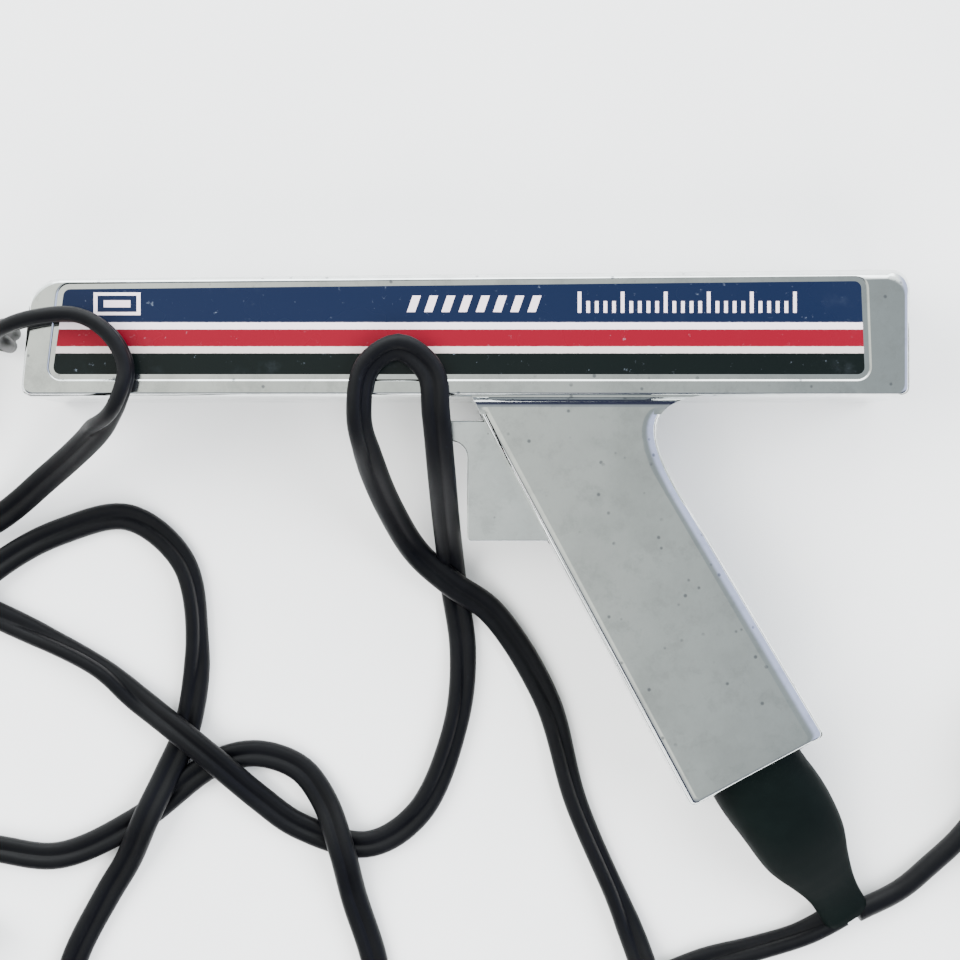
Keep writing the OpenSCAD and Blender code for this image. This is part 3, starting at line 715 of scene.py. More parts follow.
def length_of(line: Sequence[Vector]) -> float:
    """Returns a line's length."""
    return sum((b - a).length for a, b in zip(line, line[1:]))


def evenly(line: Sequence[Vector], step: float) -> list[Vector]:
    """Samples a line at even steps, keeping both of its ends.

    Args:
        line: The line.
        step: The wanted distance between samples.

    Returns:
        The samples.
    """
    count = max(2, round(length_of(line) / step))
    gap = length_of(line) / count
    result, gone, target = [line[0].copy()], 0.0, gap
    for a, b in zip(line, line[1:]):
        span = (b - a).length
        while span > 0 and gone + span >= target - 1e-12 and len(result) < count:
            result.append(a.lerp(b, (target - gone) / span))
            target += gap
        gone += span
    return result + [line[-1].copy()]


Profile = Callable[[float], Sequence[Flat]]


def swept(name: str, line: Sequence[Vector], profile: Profile,
          roll: Union[Sequence[float], None] = None) -> bpy.types.Object:
    """Sweeps a profile along a line, keeping its first axis level.

    Args:
        name: The piece's name.
        line: The line.
        profile: Gives the profile's points, level and up, for a place from 0 to 1.
        roll: Turn of the profile at each point, in radians.

    Returns:
        The new piece.
    """
    rings, last = [], len(line) - 1
    side = Vector((1, 0, 0))
    for i, point in enumerate(line):
        ahead = (line[min(i + 1, last)] - line[max(i - 1, 0)]).normalized()
        level = Vector((-ahead.y, ahead.x, 0))
        side = level.normalized() if level.length > 0.02 else side
        up = ahead.cross(side).normalized()
        turn = roll[i] if roll else 0.0
        c, s = math.cos(turn), math.sin(turn)
        rings.append([tuple(point + (a * c - b * s) * side + (a * s + b * c) * up)
                      for a, b in profile(i / last)])
    piece = loft(name, rings)
    piece.data.shade_smooth()
    return piece


def oval(a: float, b: float, power: float, sides: int = 48) -> list[Flat]:
    """Draws a superellipse: power 2 is an ellipse, and more is squarer.

    Args:
        a: Half width.
        b: Half height.
        power: Squareness.
        sides: How many points.

    Returns:
        The points.
    """
    points = []
    for i in range(sides):
        c, s = math.cos(2 * math.pi * i / sides), math.sin(2 * math.pi * i / sides)
        points.append((a * math.copysign(abs(c) ** (2 / power), c),
                       b * math.copysign(abs(s) ** (2 / power), s)))
    return points


# ---------------------------------------------------------------- leads

LIE = 2.2  # height of the lead's middle on the bench, in millimetres
OVER = 6.9  # over another strand
TOP = 44.1  # over the housing

POWER_ROUTE: list[Point] = [
    (103, -156.5, 4.6), (92, -162.5, LIE), (79, -166.5, LIE), (66, -170, LIE), (54, -175, LIE),
    (43, -183, LIE), (39, -193, LIE), (46, -202, LIE), (56, -199, LIE), (57, -188, 3.4),
    (50.5, -176, OVER), (46, -164, 3.4), (42, -154, LIE), (30, -126, LIE), (22, -98, LIE),
    (7, -74, 3.6), (-4, -66, OVER), (-13, -58, 8.6), (-20, -46, 19), (-25, -32, 35),
    (-27, -21, TOP), (-25, -9, TOP), (-17, -4, TOP), (-9, -10, TOP), (-7.5, -21, TOP),
    (-6.5, -33, 37), (-5.5, -47, 21), (-4.5, -58, 8), (-3.5, -67, LIE), (-1, -85, LIE),
    (-3, -105, LIE), (-13, -129, LIE), (-27, -138, LIE), (-46, -133, LIE), (-57, -125, 3.4),
    (-68, -115, OVER), (-79, -106, OVER), (-90, -98, 3.4), (-101, -89, LIE), (-129, -75, LIE),
    (-141, -70, LIE), (-154, -66, LIE), (-167, -68, LIE), (-174, -78, LIE), (-171, -89, LIE),
    (-161, -94, LIE), (-150, -87, 3.4), (-140, -72, OVER), (-127, -60, 3.2), (-112, -52, LIE),
    (-93, -48, LIE), (-78, -60, LIE), (-74, -82, LIE), (-77, -106, LIE), (-82, -118, 3.4),
    (-87.5, -130, OVER), (-93, -142, 3.4), (-99, -152, LIE), (-108, -170, LIE),
    (-111, -186, LIE), (-102, -198, LIE), (-84, -203, LIE), (-60, -203, LIE), (-38, -201, LIE),
    (-25, -190, LIE), (-25, -172, LIE), (-31, -152, 3.4), (-34, -139, OVER), (-39, -126, 3.4),
    (-46, -117, LIE), (-58, -113, LIE), (-70, -116, LIE), (-90, -131, LIE), (-112, -141, LIE),
    (-131, -139, LIE), (-152, -137, LIE), (-173, -126, LIE), (-187, -107, LIE),
    (-190, -86, LIE), (-182, -67, LIE), (-166, -58, LIE), (-147, -56, LIE), (-130, -49, 3),
    (-113, -37, 13), (-97, -26, 32), (-88, -18, TOP + 0.6), (-86, -9, TOP), (-90, -1, TOP),
    (-98, 4, TOP), (-109, 3.5, TOP), (-118, 1, 41), (-121.5, 0, 26), (-124, 0.5, 9),
    (-133, 3, LIE), (-146, 8, LIE), (-158, 14, 3.4)]


RED_ROUTE: list[Point] = [
    (-198.6, -40, 5.2), (-198.2, -50, 3.6), (-199.2, -64, 2.1), (-201, -82, 1.9),
    (-202, -105, 1.9), (-203, -135, 1.9), (-204, -155, 2.9), (-202, -166, 5),
    (-195.5, -170.5, 7.2), (-188, -171.2, 7.6)]
BLACK_ROUTE: list[Point] = [
    (-202.8, -40, 5.2), (-203.6, -50, 3.6), (-204.6, -64, 2.1), (-205.4, -82, 1.9),
    (-206, -105, 1.9), (-207, -135, 1.9), (-209, -165, 1.9), (-208, -185, 2.9),
    (-203, -196, 5), (-195.5, -199.5, 7.2), (-188, -200.2, 7.6)]
PICKUP_START: list[Point] = [
    (107, -156, 4.6), (119, -150.5, 3), (127.5, -143.5, 3), (136, -135.5, 3), (142, -127, 3),
    (144.5, -118, 3)]
PICKUP_END: list[Point] = [(194, -83, 14.8), (199, -77, 12), (200.3, -64, 9)]


def metres(points: Sequence[Point]) -> list[Point]:
    """Returns points given in millimetres, in metres."""
    return [(x * MM, y * MM, z * MM) for x, y, z in points]


def rise(t: float) -> float:
    """Returns a smooth step from 0 to 1."""
    t = max(0.0, min(1.0, t))
    return t * t * (3 - 2 * t)


@dataclass
class CableTie:
    """A strap tie pulled round a coil, with its locking head."""

    name: str
    centre: Point
    angle: float
    radius: float
    half_width: float
    height: float
    strap: float = 3.2 * MM
    thick: float = 1.0 * MM

    def build(self, material: bpy.types.Material, slot: str) -> list[bpy.types.Object]:
        """Makes the strap and its head round the coil's section at an angle.

        Args:
            material: The finish.
            slot: A slot name, passed on to settle.

        Returns:
            The strap and the head.
        """
        a = math.radians(self.angle)
        out = Vector((math.cos(a), math.sin(a), 0))
        along = Vector((-out.y, out.x, 0))
        base = Vector(self.centre) + out * self.radius + Vector((0, 0, self.height / 2))
        rings = []
        loop = oval(self.half_width, self.height / 2 - 0.1 * MM, 3.4, 56)
        outer = oval(self.half_width + self.thick, self.height / 2 - 0.1 * MM
                     + self.thick * 0.6, 3.2, 56)
        for (x0, z0), (x1, z1) in zip(loop, outer):
            low = max(z1, 0.05 * MM - self.height / 2)
            inner = base + out * x0 + Vector((0, 0, max(z0, low + 0.3 * MM if z0 < 0 else z0)))
            far_side = base + out * x1 + Vector((0, 0, low))
            half = along * (self.strap / 2)
            rings.append([tuple(inner - half), tuple(inner + half),
                          tuple(far_side + half), tuple(far_side - half)])
        strap = loft(f"{self.name}_strap", rings, band=True)
        head = self._head(base, out, along)
        for piece in (strap, head):
            finish_edges(piece, 0.2 * MM, 2)
            settle(piece, "housing", slot, material)
        return [strap, head]

    def _head(self, base: Vector, out: Vector, along: Vector) -> bpy.types.Object:
        """Makes the locking head, with the strap's cut tail through it.

        Args:
            base: Middle of the coil's section.
            out: Direction away from the coil's centre.
            along: Direction of the strands.

        Returns:
            The head.
        """
        top = base + Vector((0, 0, self.height / 2 + 0.2 * MM)) - out * self.half_width * 0.4
        w, l, h = self.strap * 0.85, self.strap * 0.8, 2.2 * MM
        square = [(-w, -l), (w, -l), (w, l), (-w, l)]
        return loft(f"{self.name}_head", [
            [tuple(top + out * (v * k) + along * (u * k) + Vector((0, 0, z))) for u, v in square]
            for z, k in ((0.0, 1.0), (h * 0.7, 1.0), (h, 0.8))])


@dataclass
class PowerLead:
    """The twin power lead: loose over the bench and the housing, then coiled and tied."""

    lobe_r: float = 1.95 * MM
    lobe_out: float = 1.75 * MM
    lobe_end: float = 145.0
    step: float = 1.8 * MM
    coil_centre: Flat = (-170 * MM, -15 * MM)
    coil_r: float = 31 * MM
    coil_from: float = 67.5
    coil_to: float = 553.0
    coil_climb: tuple[float, float] = (295.0, 382.0)
    layers: Flat = (LIE * MM, 6.55 * MM)
    split_at: Point = (-200.2 * MM, -31 * MM, 6.4 * MM)
    length: float = 1.83
    near: float = 10 * MM
    clear: float = 26 * MM
    apart: float = 40 * MM
    bench_z: float = 2.4 * MM
    high_z: float = 36 * MM
    soften: int = 14
    waves: tuple[Point, ...] = ((0.8625, 0.083, 0.6), (0.5175, 0.031, 2.1))
    on_edge: tuple[tuple[float, float, float], ...] = (
        (-130, -80, 1.55), (-30, -14, 0.8), (-14, -2, 0.15))
    line: list[Vector] = field(default_factory=list)
    tie: list[bpy.types.Object] = field(default_factory=list)

    def _coil(self) -> list[Point]:
        """Lays the coil at the lead's end.

        Returns:
            The points, in metres.
        """
        points = []
        count = 64
        for i in range(2, count + 1):
            degrees = self.coil_from + (self.coil_to - self.coil_from) * i / count
            a = math.radians(degrees)
            low, high = self.coil_climb
            share = rise((degrees - low) / (high - low))
            points.append((self.coil_centre[0] + self.coil_r * math.cos(a),
                           self.coil_centre[1] + self.coil_r * math.sin(a),
                           self.layers[0] + share * (self.layers[1] - self.layers[0])))
        return points

    def _rolls(self, line: Sequence[Vector]) -> list[float]:
        """Returns how far the lead lies turned on its edge at each point.

        Args:
            line: The lead's centreline.

        Returns:
            A turn for each point; none beside other strands or off the bench.
        """
        skip = int(self.apart / self.step)
        rolls = []
        for i, point in enumerate(line):
            closest = min((math.hypot(point.x - q.x, point.y - q.y)
                           for j, q in enumerate(line) if abs(i - j) > skip),
                          default=1.0)
            room = rise((closest - self.near) / (self.clear - self.near))
            low = 1 - rise((point.z - self.bench_z) / (1.5 * MM))
            s = i * self.step
            wave = sum(size * math.sin(s / reach + phase) for size, reach, phase in self.waves)
            rolls.append(room * low * wave + self._edged(point))
        for _ in range(self.soften):
            rolls = [rolls[0]] + [(a + 2 * b + c) / 4 for a, b, c in zip(
                rolls, rolls[1:], rolls[2:])] + [rolls[-1]]
        return rolls

    def _edged(self, point: Vector) -> float:
        """Returns how far the lead stands on its edge where it loops over the housing."""
        if point.z < self.high_z:
            return 0.0
        return max((turn for low, high, turn in self.on_edge
                    if low * MM < point.x < high * MM), default=0.0)

    def _profile(self, _: float) -> list[Flat]:
        """Draws the twin lead's section, two round lobes with a groove between.

        Returns:
            The section's points, level and up.
        """
        points: list[Flat] = []
        for side, start in ((1, -self.lobe_end), (-1, 180 - self.lobe_end)):
            for i in range(13):
                a = math.radians(start + 2 * self.lobe_end * i / 12)
                points.append((side * self.lobe_out + self.lobe_r * math.cos(a),
                               self.lobe_r * math.sin(a)))
        return points

    def build(self, material: bpy.types.Material, tie: bpy.types.Material
              ) -> bpy.types.Object:
        """Args:
            material: The lead's finish.
            tie: The tie's finish.

        Returns:
            The lead.
        """
        route = metres(POWER_ROUTE) + self._coil() + [self.split_at]
        line = smooth(route, self.step)
        rolls = self._rolls(line)
        flat_h = self.lobe_r
        edge_h = self.lobe_out + self.lobe_r
        for point, roll in zip(line, rolls):
            height = flat_h + abs(math.sin(roll)) * (edge_h - flat_h)
            point.z = max(point.z + height - flat_h, height + 0.05 * MM)
        lead = swept("power_lead_flex", line, self._profile, rolls)
        settle(lead, "housing", "lead_black", material, "power_lead", "power_lead_coil")
        self.line = line
        self.tie = CableTie("power_coil_tie", (*self.coil_centre, 0.0), 140.0, self.coil_r,
                            4.3 * MM, 9.0 * MM).build(tie, "black_plastic")
        return lead

    def declare(self, lead: bpy.types.Object, end_pieces: list[bpy.types.Object]) -> None:
        LOG.info("power lead runs %.3f m", length_of(self.line))


@dataclass
class Splitter:
    """The moulded piece where the twin lead divides into its two branches."""

    route: tuple[Point, ...] = ((-200.2, -27, 6.5), (-200.4, -36, 5.9), (-200.8, -45, 4.6))
    half_w: float = 4.4 * MM
    half_h: float = 2.7 * MM
    swell: float = 0.5 * MM
    rib: float = 0.25 * MM

    def build(self, material: bpy.types.Material) -> bpy.types.Object:
        """Makes the splitter.

        Args:
            material: The finish.

        Returns:
            The splitter.
        """
        line = smooth(metres(self.route), 0.9 * MM)

        def profile(t: float) -> list[Flat]:
            """Draws the section at a place along the splitter.

            Args:
                t: The place, from 0 to 1.

            Returns:
                The section's points.
            """
            ends = min(1.0, math.sqrt(max(0.0, min(t, 1 - t) / 0.09)) * 0.25 + 0.75)
            rib = self.rib * (1 if 0.25 < t < 0.75 and int(t * 24) % 2 else 0)
            a = (self.half_w + self.swell * math.sin(math.pi * t)) * ends - rib
            return oval(a, self.half_h * ends - rib, 2.6, 32)

        piece = swept("lead_splitter", line, profile)
        finish_edges(piece, 0.0)
        settle(piece, "housing", "lead_black", material)
        return piece


@dataclass
class Branch:
    """One single lead from the splitter to a battery clip."""

    name: str
    slot: str
    node: str
    route: Sequence[Point]
    radius: float = 1.8 * MM
    line: list[Vector] = field(default_factory=list)

    def build(self, material: bpy.types.Material) -> bpy.types.Object:
        """Makes the branch.

        Args:
            material: The finish.

        Returns:
            The branch.
        """
        self.line = smooth(metres(self.route), 1.5 * MM)
        for point in self.line:
            point.z = max(point.z, self.radius + 0.05 * MM)
        piece = swept(self.name, self.line, lambda _: circle(self.radius))
        settle(piece, "housing", self.slot, material, self.node)
        return piece

    def declare(self, piece: bpy.types.Object, clip: list[Union[bpy.types.Object, str]]) -> None:
        round(length_of(self.line), 3)
        2 * self.radius


@dataclass
class PickupLead:
    """The round lead of the inductive pickup, coiled and tied beside the grip."""

    radius: float = 2.9 * MM
    lie: float = 3.0 * MM
    step: float = 1.8 * MM
    centre: Flat = (180 * MM, -118 * MM)
    outer: float = 35.2 * MM
    inner: float = 22.6 * MM
    layer: float = 5.9 * MM
    turns: float = 4.28
    climb: float = 0.16
    length: float = 1.1
    line: list[Vector] = field(default_factory=list)
    tie: list[bpy.types.Object] = field(default_factory=list)

    def _coil(self) -> list[Point]:
        """Lays the coil: a layer in, a layer out and one turn on top.

        Returns:
            The points, in metres.
        """
        points, total, count = [], self.turns + 1.0, 26
        half = self.turns / 2
        for i in range(2, int(total * count) + 1):
            t = i / count
            a = math.radians(180 - 360 * t)
            if t < half:
                r = self.outer + (self.inner - self.outer) * t / half
            else:
                r = self.inner + (self.outer - self.inner) * min(1.0, (t - half) / half)
            z = self.lie + self.layer * (rise((t - half) / self.climb)
                                         + rise((t - self.turns) / self.climb))
            points.append((self.centre[0] + r * math.cos(a), self.centre[1] + r * math.sin(a), z))
        return points

    def build(self, material: bpy.types.Material, tie: bpy.types.Material
              ) -> bpy.types.Object:
        """Makes the lead and its coil's tie.

        Args:
            material: The lead's finish.
            tie: The tie's finish.

        Returns:
            The lead.
        """
        self.line = smooth(metres(PICKUP_START) + self._coil() + metres(PICKUP_END), self.step)
        for point in self.line:
            point.z = max(point.z, self.radius + 0.05 * MM)
        lead = swept("pickup_lead_flex", self.line, lambda _: circle(self.radius))
        settle(lead, "housing", "lead_black", material, "pickup_lead", "pickup_lead_coil")
        self.tie = CableTie("pickup_coil_tie", (*self.centre, 0.0), -38.0, 28.9 * MM,
                            9.9 * MM, 17.8 * MM).build(tie, "black_plastic")
        return lead

    def declare(self, lead: bpy.types.Object, clamp: list[Union[bpy.types.Object, str]]) -> None:
        LOG.info("pickup lead runs %.3f m", length_of(self.line))
        2 * self.radius


# ---------------------------------------------------------------- housing


@dataclass
class GunShape:
    """The outlines of the barrel, the grip and the label, in millimetres."""

    barrel_l: float = 228.0
    barrel_h: float = 32.8
    barrel_w: float = 42.0
    muzzle_drop: float = 2.6
    muzzle_rake: float = 2.7
    wall: float = 2.4
    grip_angle: float = 28.2
    grip_l: float = 115.2
    grip_d: float = 39.2
    palm_d: float = 36.8
    grip_step: float = 4.0
    grip_x: float = 4.0
    cove_r: float = 4.4
    palm_t: float = 62.0
    corner_r: float = 1.4
    web_reach: float = 61.0
    web_pull: Flat = (26.0, 28.0)
    web_steps: int = 24
    label_front: float = 10.0
    label_rear: float = 13.0
    label_low: float = 5.7
    label_high: float = 3.3
    label_r: float = 1.8

    def __post_init__(self) -> None:
        """Works out the places that the outlines share."""
        self.half_l = self.barrel_l / 2
        self.half_h = self.barrel_h / 2
        self.split = self.barrel_w / 2
        a = math.radians(self.grip_angle)
        self.u = (math.sin(a), -math.cos(a))
        self.v = (math.cos(a), math.sin(a))
        self.top = (self.grip_x, -self.half_h - self.cove_r)
        self.boot_start = self.on_grip(self.grip_l, self.grip_d / 2)
        self.lens_y = (self.top_at(-self.half_l) - self.half_h) / 2

    def top_at(self, x: float) -> float:
        """Returns the height of the barrel's top edge at a place along it."""
        return self.half_h - self.muzzle_drop * (self.half_l - x) / self.barrel_l

    def on_grip(self, t: float, w: float) -> Flat:
        """Returns a place on the grip: t down its front edge, w across from it."""
        return (self.top[0] + t * self.u[0] + w * self.v[0],
                self.top[1] + t * self.u[1] + w * self.v[1])

    def barrel(self, k: float = 0.0, d: float = 0.0) -> list[Flat]:
        """Draws the barrel's outline.

        Args:
            k: Share of the edge rounding.
            d: Distance drawn in.

        Returns:
            The outline.
        """
        front, rear = -self.half_l + k * 1.4 + d, self.half_l - k * 2.2 - d
        low = -self.half_h + k * 1.2 + d
        return rounded([(front, low, 2.4 - d / 2), (rear, low, 2.4 - d / 2),
                        (rear, self.half_h - k * 3.3 - d, 5 - d),
                        (front + self.muzzle_rake, self.top_at(front) - k * 1.3 - d, 8 - d)])

    def web(self, i: int, back: float) -> Flat:
        """Places a point of the web between the palm and the barrel's underside.

        Args:
            i: Step along the web.
            back: Distance drawn in.

        Returns:
            The point.
        """
        px, py = self.on_grip(self.palm_t, self.palm_d - back)
        sx, sy = self.grip_x + self.web_reach - back, 0.6 - self.half_h
        low = self.on_grip(self.grip_l, self.grip_d)
        high = self.on_grip(self.palm_t, self.palm_d)
        ux, uy = unit(low[0] - high[0], low[1] - high[1])
        pull, ease = self.web_pull
        q, r = (px - pull * ux, py - pull * uy), (sx - ease, sy - 0.6)
        t = i / self.web_steps
        w = ((1 - t) ** 3, 3 * (1 - t) ** 2 * t, 3 * (1 - t) * t * t, t ** 3)
        return (w[0] * px + w[1] * q[0] + w[2] * r[0] + w[3] * sx,
                w[0] * py + w[1] * q[1] + w[2] * r[1] + w[3] * sy)

    def grip(self, front: float = 0.0, back: float = 0.0, bottom: float = 0.0) -> list[Flat]:
        """Draws the grip's outline.

        Args:
            front: Distance in from the front edge.
            back: Distance in from the back edge.
            bottom: Distance up from the bottom edge.

        Returns:
            The outline.
        """
        a, b = self.on_grip(-8, front), self.on_grip(self.grip_l - bottom, front)
        c, d = self.on_grip(self.grip_l - bottom, self.grip_d - back), self.web(0, back)
        return (corner_arc(a, b, c, self.corner_r, 8) + corner_arc(b, c, d, self.corner_r, 8)
                + [self.web(i, back) for i in range(self.web_steps + 1)]
                + [(self.grip_x + self.web_reach - back, a[1]), a])

    def label(self, grow: float = 0.0) -> list[Flat]:
        """Draws the label's outline.

        Args:
            grow: Distance outwards.

        Returns:
            The outline.
        """
        left = -self.half_l + self.label_front
        front, rear, r = left - grow, self.half_l - self.label_rear + grow, self.label_r + grow
        low, high = -self.half_h + self.label_low - grow, self.half_h - self.label_high + grow
        return rounded([(front - 1.5, low, r), (rear + 1, low, r), (rear, high, r),
                        (front + 1.5, self.top_at(left) - 2.9 + grow, r)], 8)


def scaled(piece: bpy.types.Object) -> bpy.types.Object:
    """Turns a mesh made in millimetres into metres."""
    piece.data.transform(Matrix.Scale(MM, 4))
    return piece


@dataclass
class Housing:
    """The two plated halves, made in millimetres with their outer face on z = 0."""

    shape: GunShape = field(default_factory=GunShape)
    levels: int = 9
    side_round: float = 3.2
    grip_round: float = 3.0
    seam: float = 0.22
    border_t: float = 0.5
    border_w: float = 1.3
    border: tuple[Flat, ...] = ((0.7, -0.05), (0.36, 0.06), (0.12, 0.22), (0.0, 0.42), (0.0, 0.5))
    label_t: float = 0.6
    boss_r: float = 4.0
    screw_r: float = 1.65
    hinge: Flat = (8.4, 5.2)
    hinge_r: float = 1.525
    boot_bore_r: float = 8.1
    slot: tuple[Flat, ...] = ((-0.6, -4), (-0.6, 3.9), (39.5, 3.9), (37.5, -4))
    slot_half: float = 7.3
    muzzle: tuple[Flat, ...] = (
        (-6.0, 13.2), (0.9, 11.3), (1.3, 10.9), (1.8, 10.6), (11.0, 10.6))
    counterbore: tuple[Flat, ...] = ((3.5, -0.1), (3.1, 0.25), (3.0, 0.5))

    def _edge(self, depth: float) -> list[Flat]:
        """Returns a rounded edge's levels: how far drawn in, and at what depth."""
        turns = [math.pi / 2 * (self.levels - i) / self.levels for i in range(self.levels + 1)]
        return [(1 - math.cos(a), depth * (1 - math.sin(a))) for a in turns]

    def _barrel(self) -> bpy.types.Object:
        """Makes the barrel's half, as a solid.

        Returns:
            The solid.
        """
        g = self.shape
        rings = [lifted(g.barrel(k), z) for k, z in self._edge(self.side_round)]
        rings += [lifted(g.barrel(), g.split - self.seam),
                  lifted(g.barrel(0, self.seam), g.split)]
        return loft("barrel_half", rings)

    def _grip(self) -> bpy.types.Object:
        """Makes the grip's half, as a solid with its web rounded.

        Returns:
            The solid.
        """
        g = self.shape
        rings = [lifted(g.grip(2.4 * k, 4.4 * k, 1.4 * k), g.grip_step + z)
                 for k, z in self._edge(self.grip_round)]
        rings += [lifted(g.grip(), g.split - self.seam),
                  lifted(g.grip(self.seam, self.seam, self.seam), g.split)]
        return loft("grip_half", rings)

    def _cove(self) -> bpy.types.Object:
        """Makes the hollowed neck under the barrel.

        Returns:
            The solid.
        """
        g, r = self.shape, self.shape.cove_r
        low = -g.half_h - r
        arc = [(low + r * math.sin(a), r * math.cos(a))
               for a in (math.pi / 2 * i / 14 for i in range(15))]
        section = [(low, g.split), *arc, (low + r + 2, 0.4), (low + r + 2, g.split)]
        long = [[(x, y, z) for y, z in section] for x in (g.grip_x - 30, g.grip_x + 80)]
        neck = loft("neck", long)
        combine(neck, prism("neck_keep", g.grip(0.1, 0.1), 1.0, g.split - 0.1), Cut.KEEP)
        return neck

    def _cavity(self, piece: bpy.types.Object) -> None:
        """Hollows a half to its wall.

        Args:
            piece: The half.
        """
        g = self.shape
        combine(piece, prism("room", g.barrel(0, g.wall), g.wall, g.split + 5), Cut.TAKE)
        combine(piece, prism("grip_room", g.grip(g.wall, g.wall, g.wall),
                             g.grip_step + g.wall, g.split + 5), Cut.TAKE)

    def _posts(self, piece: bpy.types.Object) -> None:
        """Adds the screw bosses and the hinge boss.

        Args:
            piece: The half.
        """
        g = self.shape
        for place, base in self.screws():
            combine(piece, self._post(place, self.boss_r, base - 0.01, g.split), Cut.JOIN)
        combine(piece, self._post(g.on_grip(*self.hinge), self.boss_r,
                                  g.grip_step + g.wall - 0.01, g.split - 10.4), Cut.JOIN)

    def screws(self) -> list[tuple[Flat, float]]:
        """Lists the screws.

        Returns:
            Each screw's place and the thickness under it.
        """
        g = self.shape
        step = g.grip_step + g.wall
        return [((-g.half_l / 2, -g.half_h + 5.8), g.wall), ((68, g.top_at(0) - 5.2), g.wall),
                ((g.half_l - 12, -3), g.wall), (g.on_grip(46, g.palm_d - 8), step),
                (g.on_grip(g.grip_l - 24, 8), step)]

    @staticmethod
    def _post(place: Flat, radius: float, low: float, high: float) -> bpy.types.Object:
        """Returns an upright cylinder as a tool."""
        return rod("post", Vector((*place, low)), Vector((*place, high)), radius)

    def _openings(self, piece: bpy.types.Object) -> None:
        """Cuts the trigger's slot, the muzzle, the boot's bore and the hinge's bore.

        Args:
            piece: The half.
        """
        g = self.shape
        slot = [g.on_grip(*corner) for corner in self.slot]
        combine(piece, prism("slot", slot, g.split - self.slot_half, g.split + 5), Cut.TAKE)
        mid = Vector((-g.half_l, g.lens_y, g.split))
        rings = [[(mid.x + x, mid.y + a, mid.z + b) for a, b in circle(r, 2 * ROUND_SIDES)]
                 for x, r in self.muzzle]
        combine(piece, loft("muzzle", rings), Cut.TAKE)
        end = Vector((*g.boot_start, g.split))
        down = Vector((*g.u, 0))
        combine(piece, rod("boot_bore", end - down * (g.wall + 3), end + down * 5,
                           self.boot_bore_r), Cut.TAKE)
        combine(piece, self._post(g.on_grip(*self.hinge), self.hinge_r, g.split - 15.4,
                                  g.split + 2), Cut.TAKE)

    def _label_seat(self, piece: bpy.types.Object, depth: float, border: bool) -> None:
        """Sinks the label's seat and the stepped border round it.

        Args:
            piece: The half.
            depth: Depth of the seat.
            border: Whether it has the border.
        """
        g = self.shape
        if border:
            combine(piece, loft("border", [lifted(g.label(self.border_w + k), z)
                                           for k, z in self.border]), Cut.TAKE)
        combine(piece, prism("seat", g.label(), -1, depth), Cut.TAKE)

    def _half(self, name: str) -> bpy.types.Object:
        """Makes what both halves share.

        Args:
            name: The half's name.

        Returns:
            The half.
        """
        piece = self._barrel()
        piece.name = name
        for part in (self._grip(), self._cove()):
            combine(piece, part, Cut.JOIN)
        self._cavity(piece)
        self._posts(piece)
        self._openings(piece)
        return piece

    def build(self, material: bpy.types.Material) -> None:
        """Makes both halves.

        Args:
            material: Their finish.
        """
        g = self.shape
        right = self._half("right_housing")
        left = new_piece("left_housing", right.data.copy())
        self._label_seat(right, self.label_t, False)
        for place, base in self.screws():
            combine(right, self._post(place, self.screw_r, -1, g.split + 1), Cut.TAKE)
            head = [*self.counterbore, (3.0, base - g.wall + 3.4)]
            low = -0.1 if base == g.wall else g.grip_step - 0.1
            rings = [[(place[0] + a, place[1] + b, z if z > 1 else low + 0.1 + z)
                      for a, b in circle(r, ROUND_SIDES)] for r, z in head]
            combine(right, loft("counterbore", rings), Cut.TAKE)
        self._label_seat(left, self.border_t + self.label_t, True)
        flip = Matrix.Translation((0, 0, g.barrel_w)) @ Matrix.Diagonal((1, 1, -1, 1))
        left.data.transform(flip)
        left.data.flip_normals()
        for piece, node in ((right, "right_shell"), (left, "left_shell")):
            scaled(piece)
            self._shade(piece)
            settle(piece, "housing", "chrome", material, node)

    @staticmethod
    def _shade(piece: bpy.types.Object) -> None:
        """Merges flat faces and shades the rounded ones smooth."""
        merge_flat(piece.data, 2e-6, 0.4)
        shade(piece, 24.0)


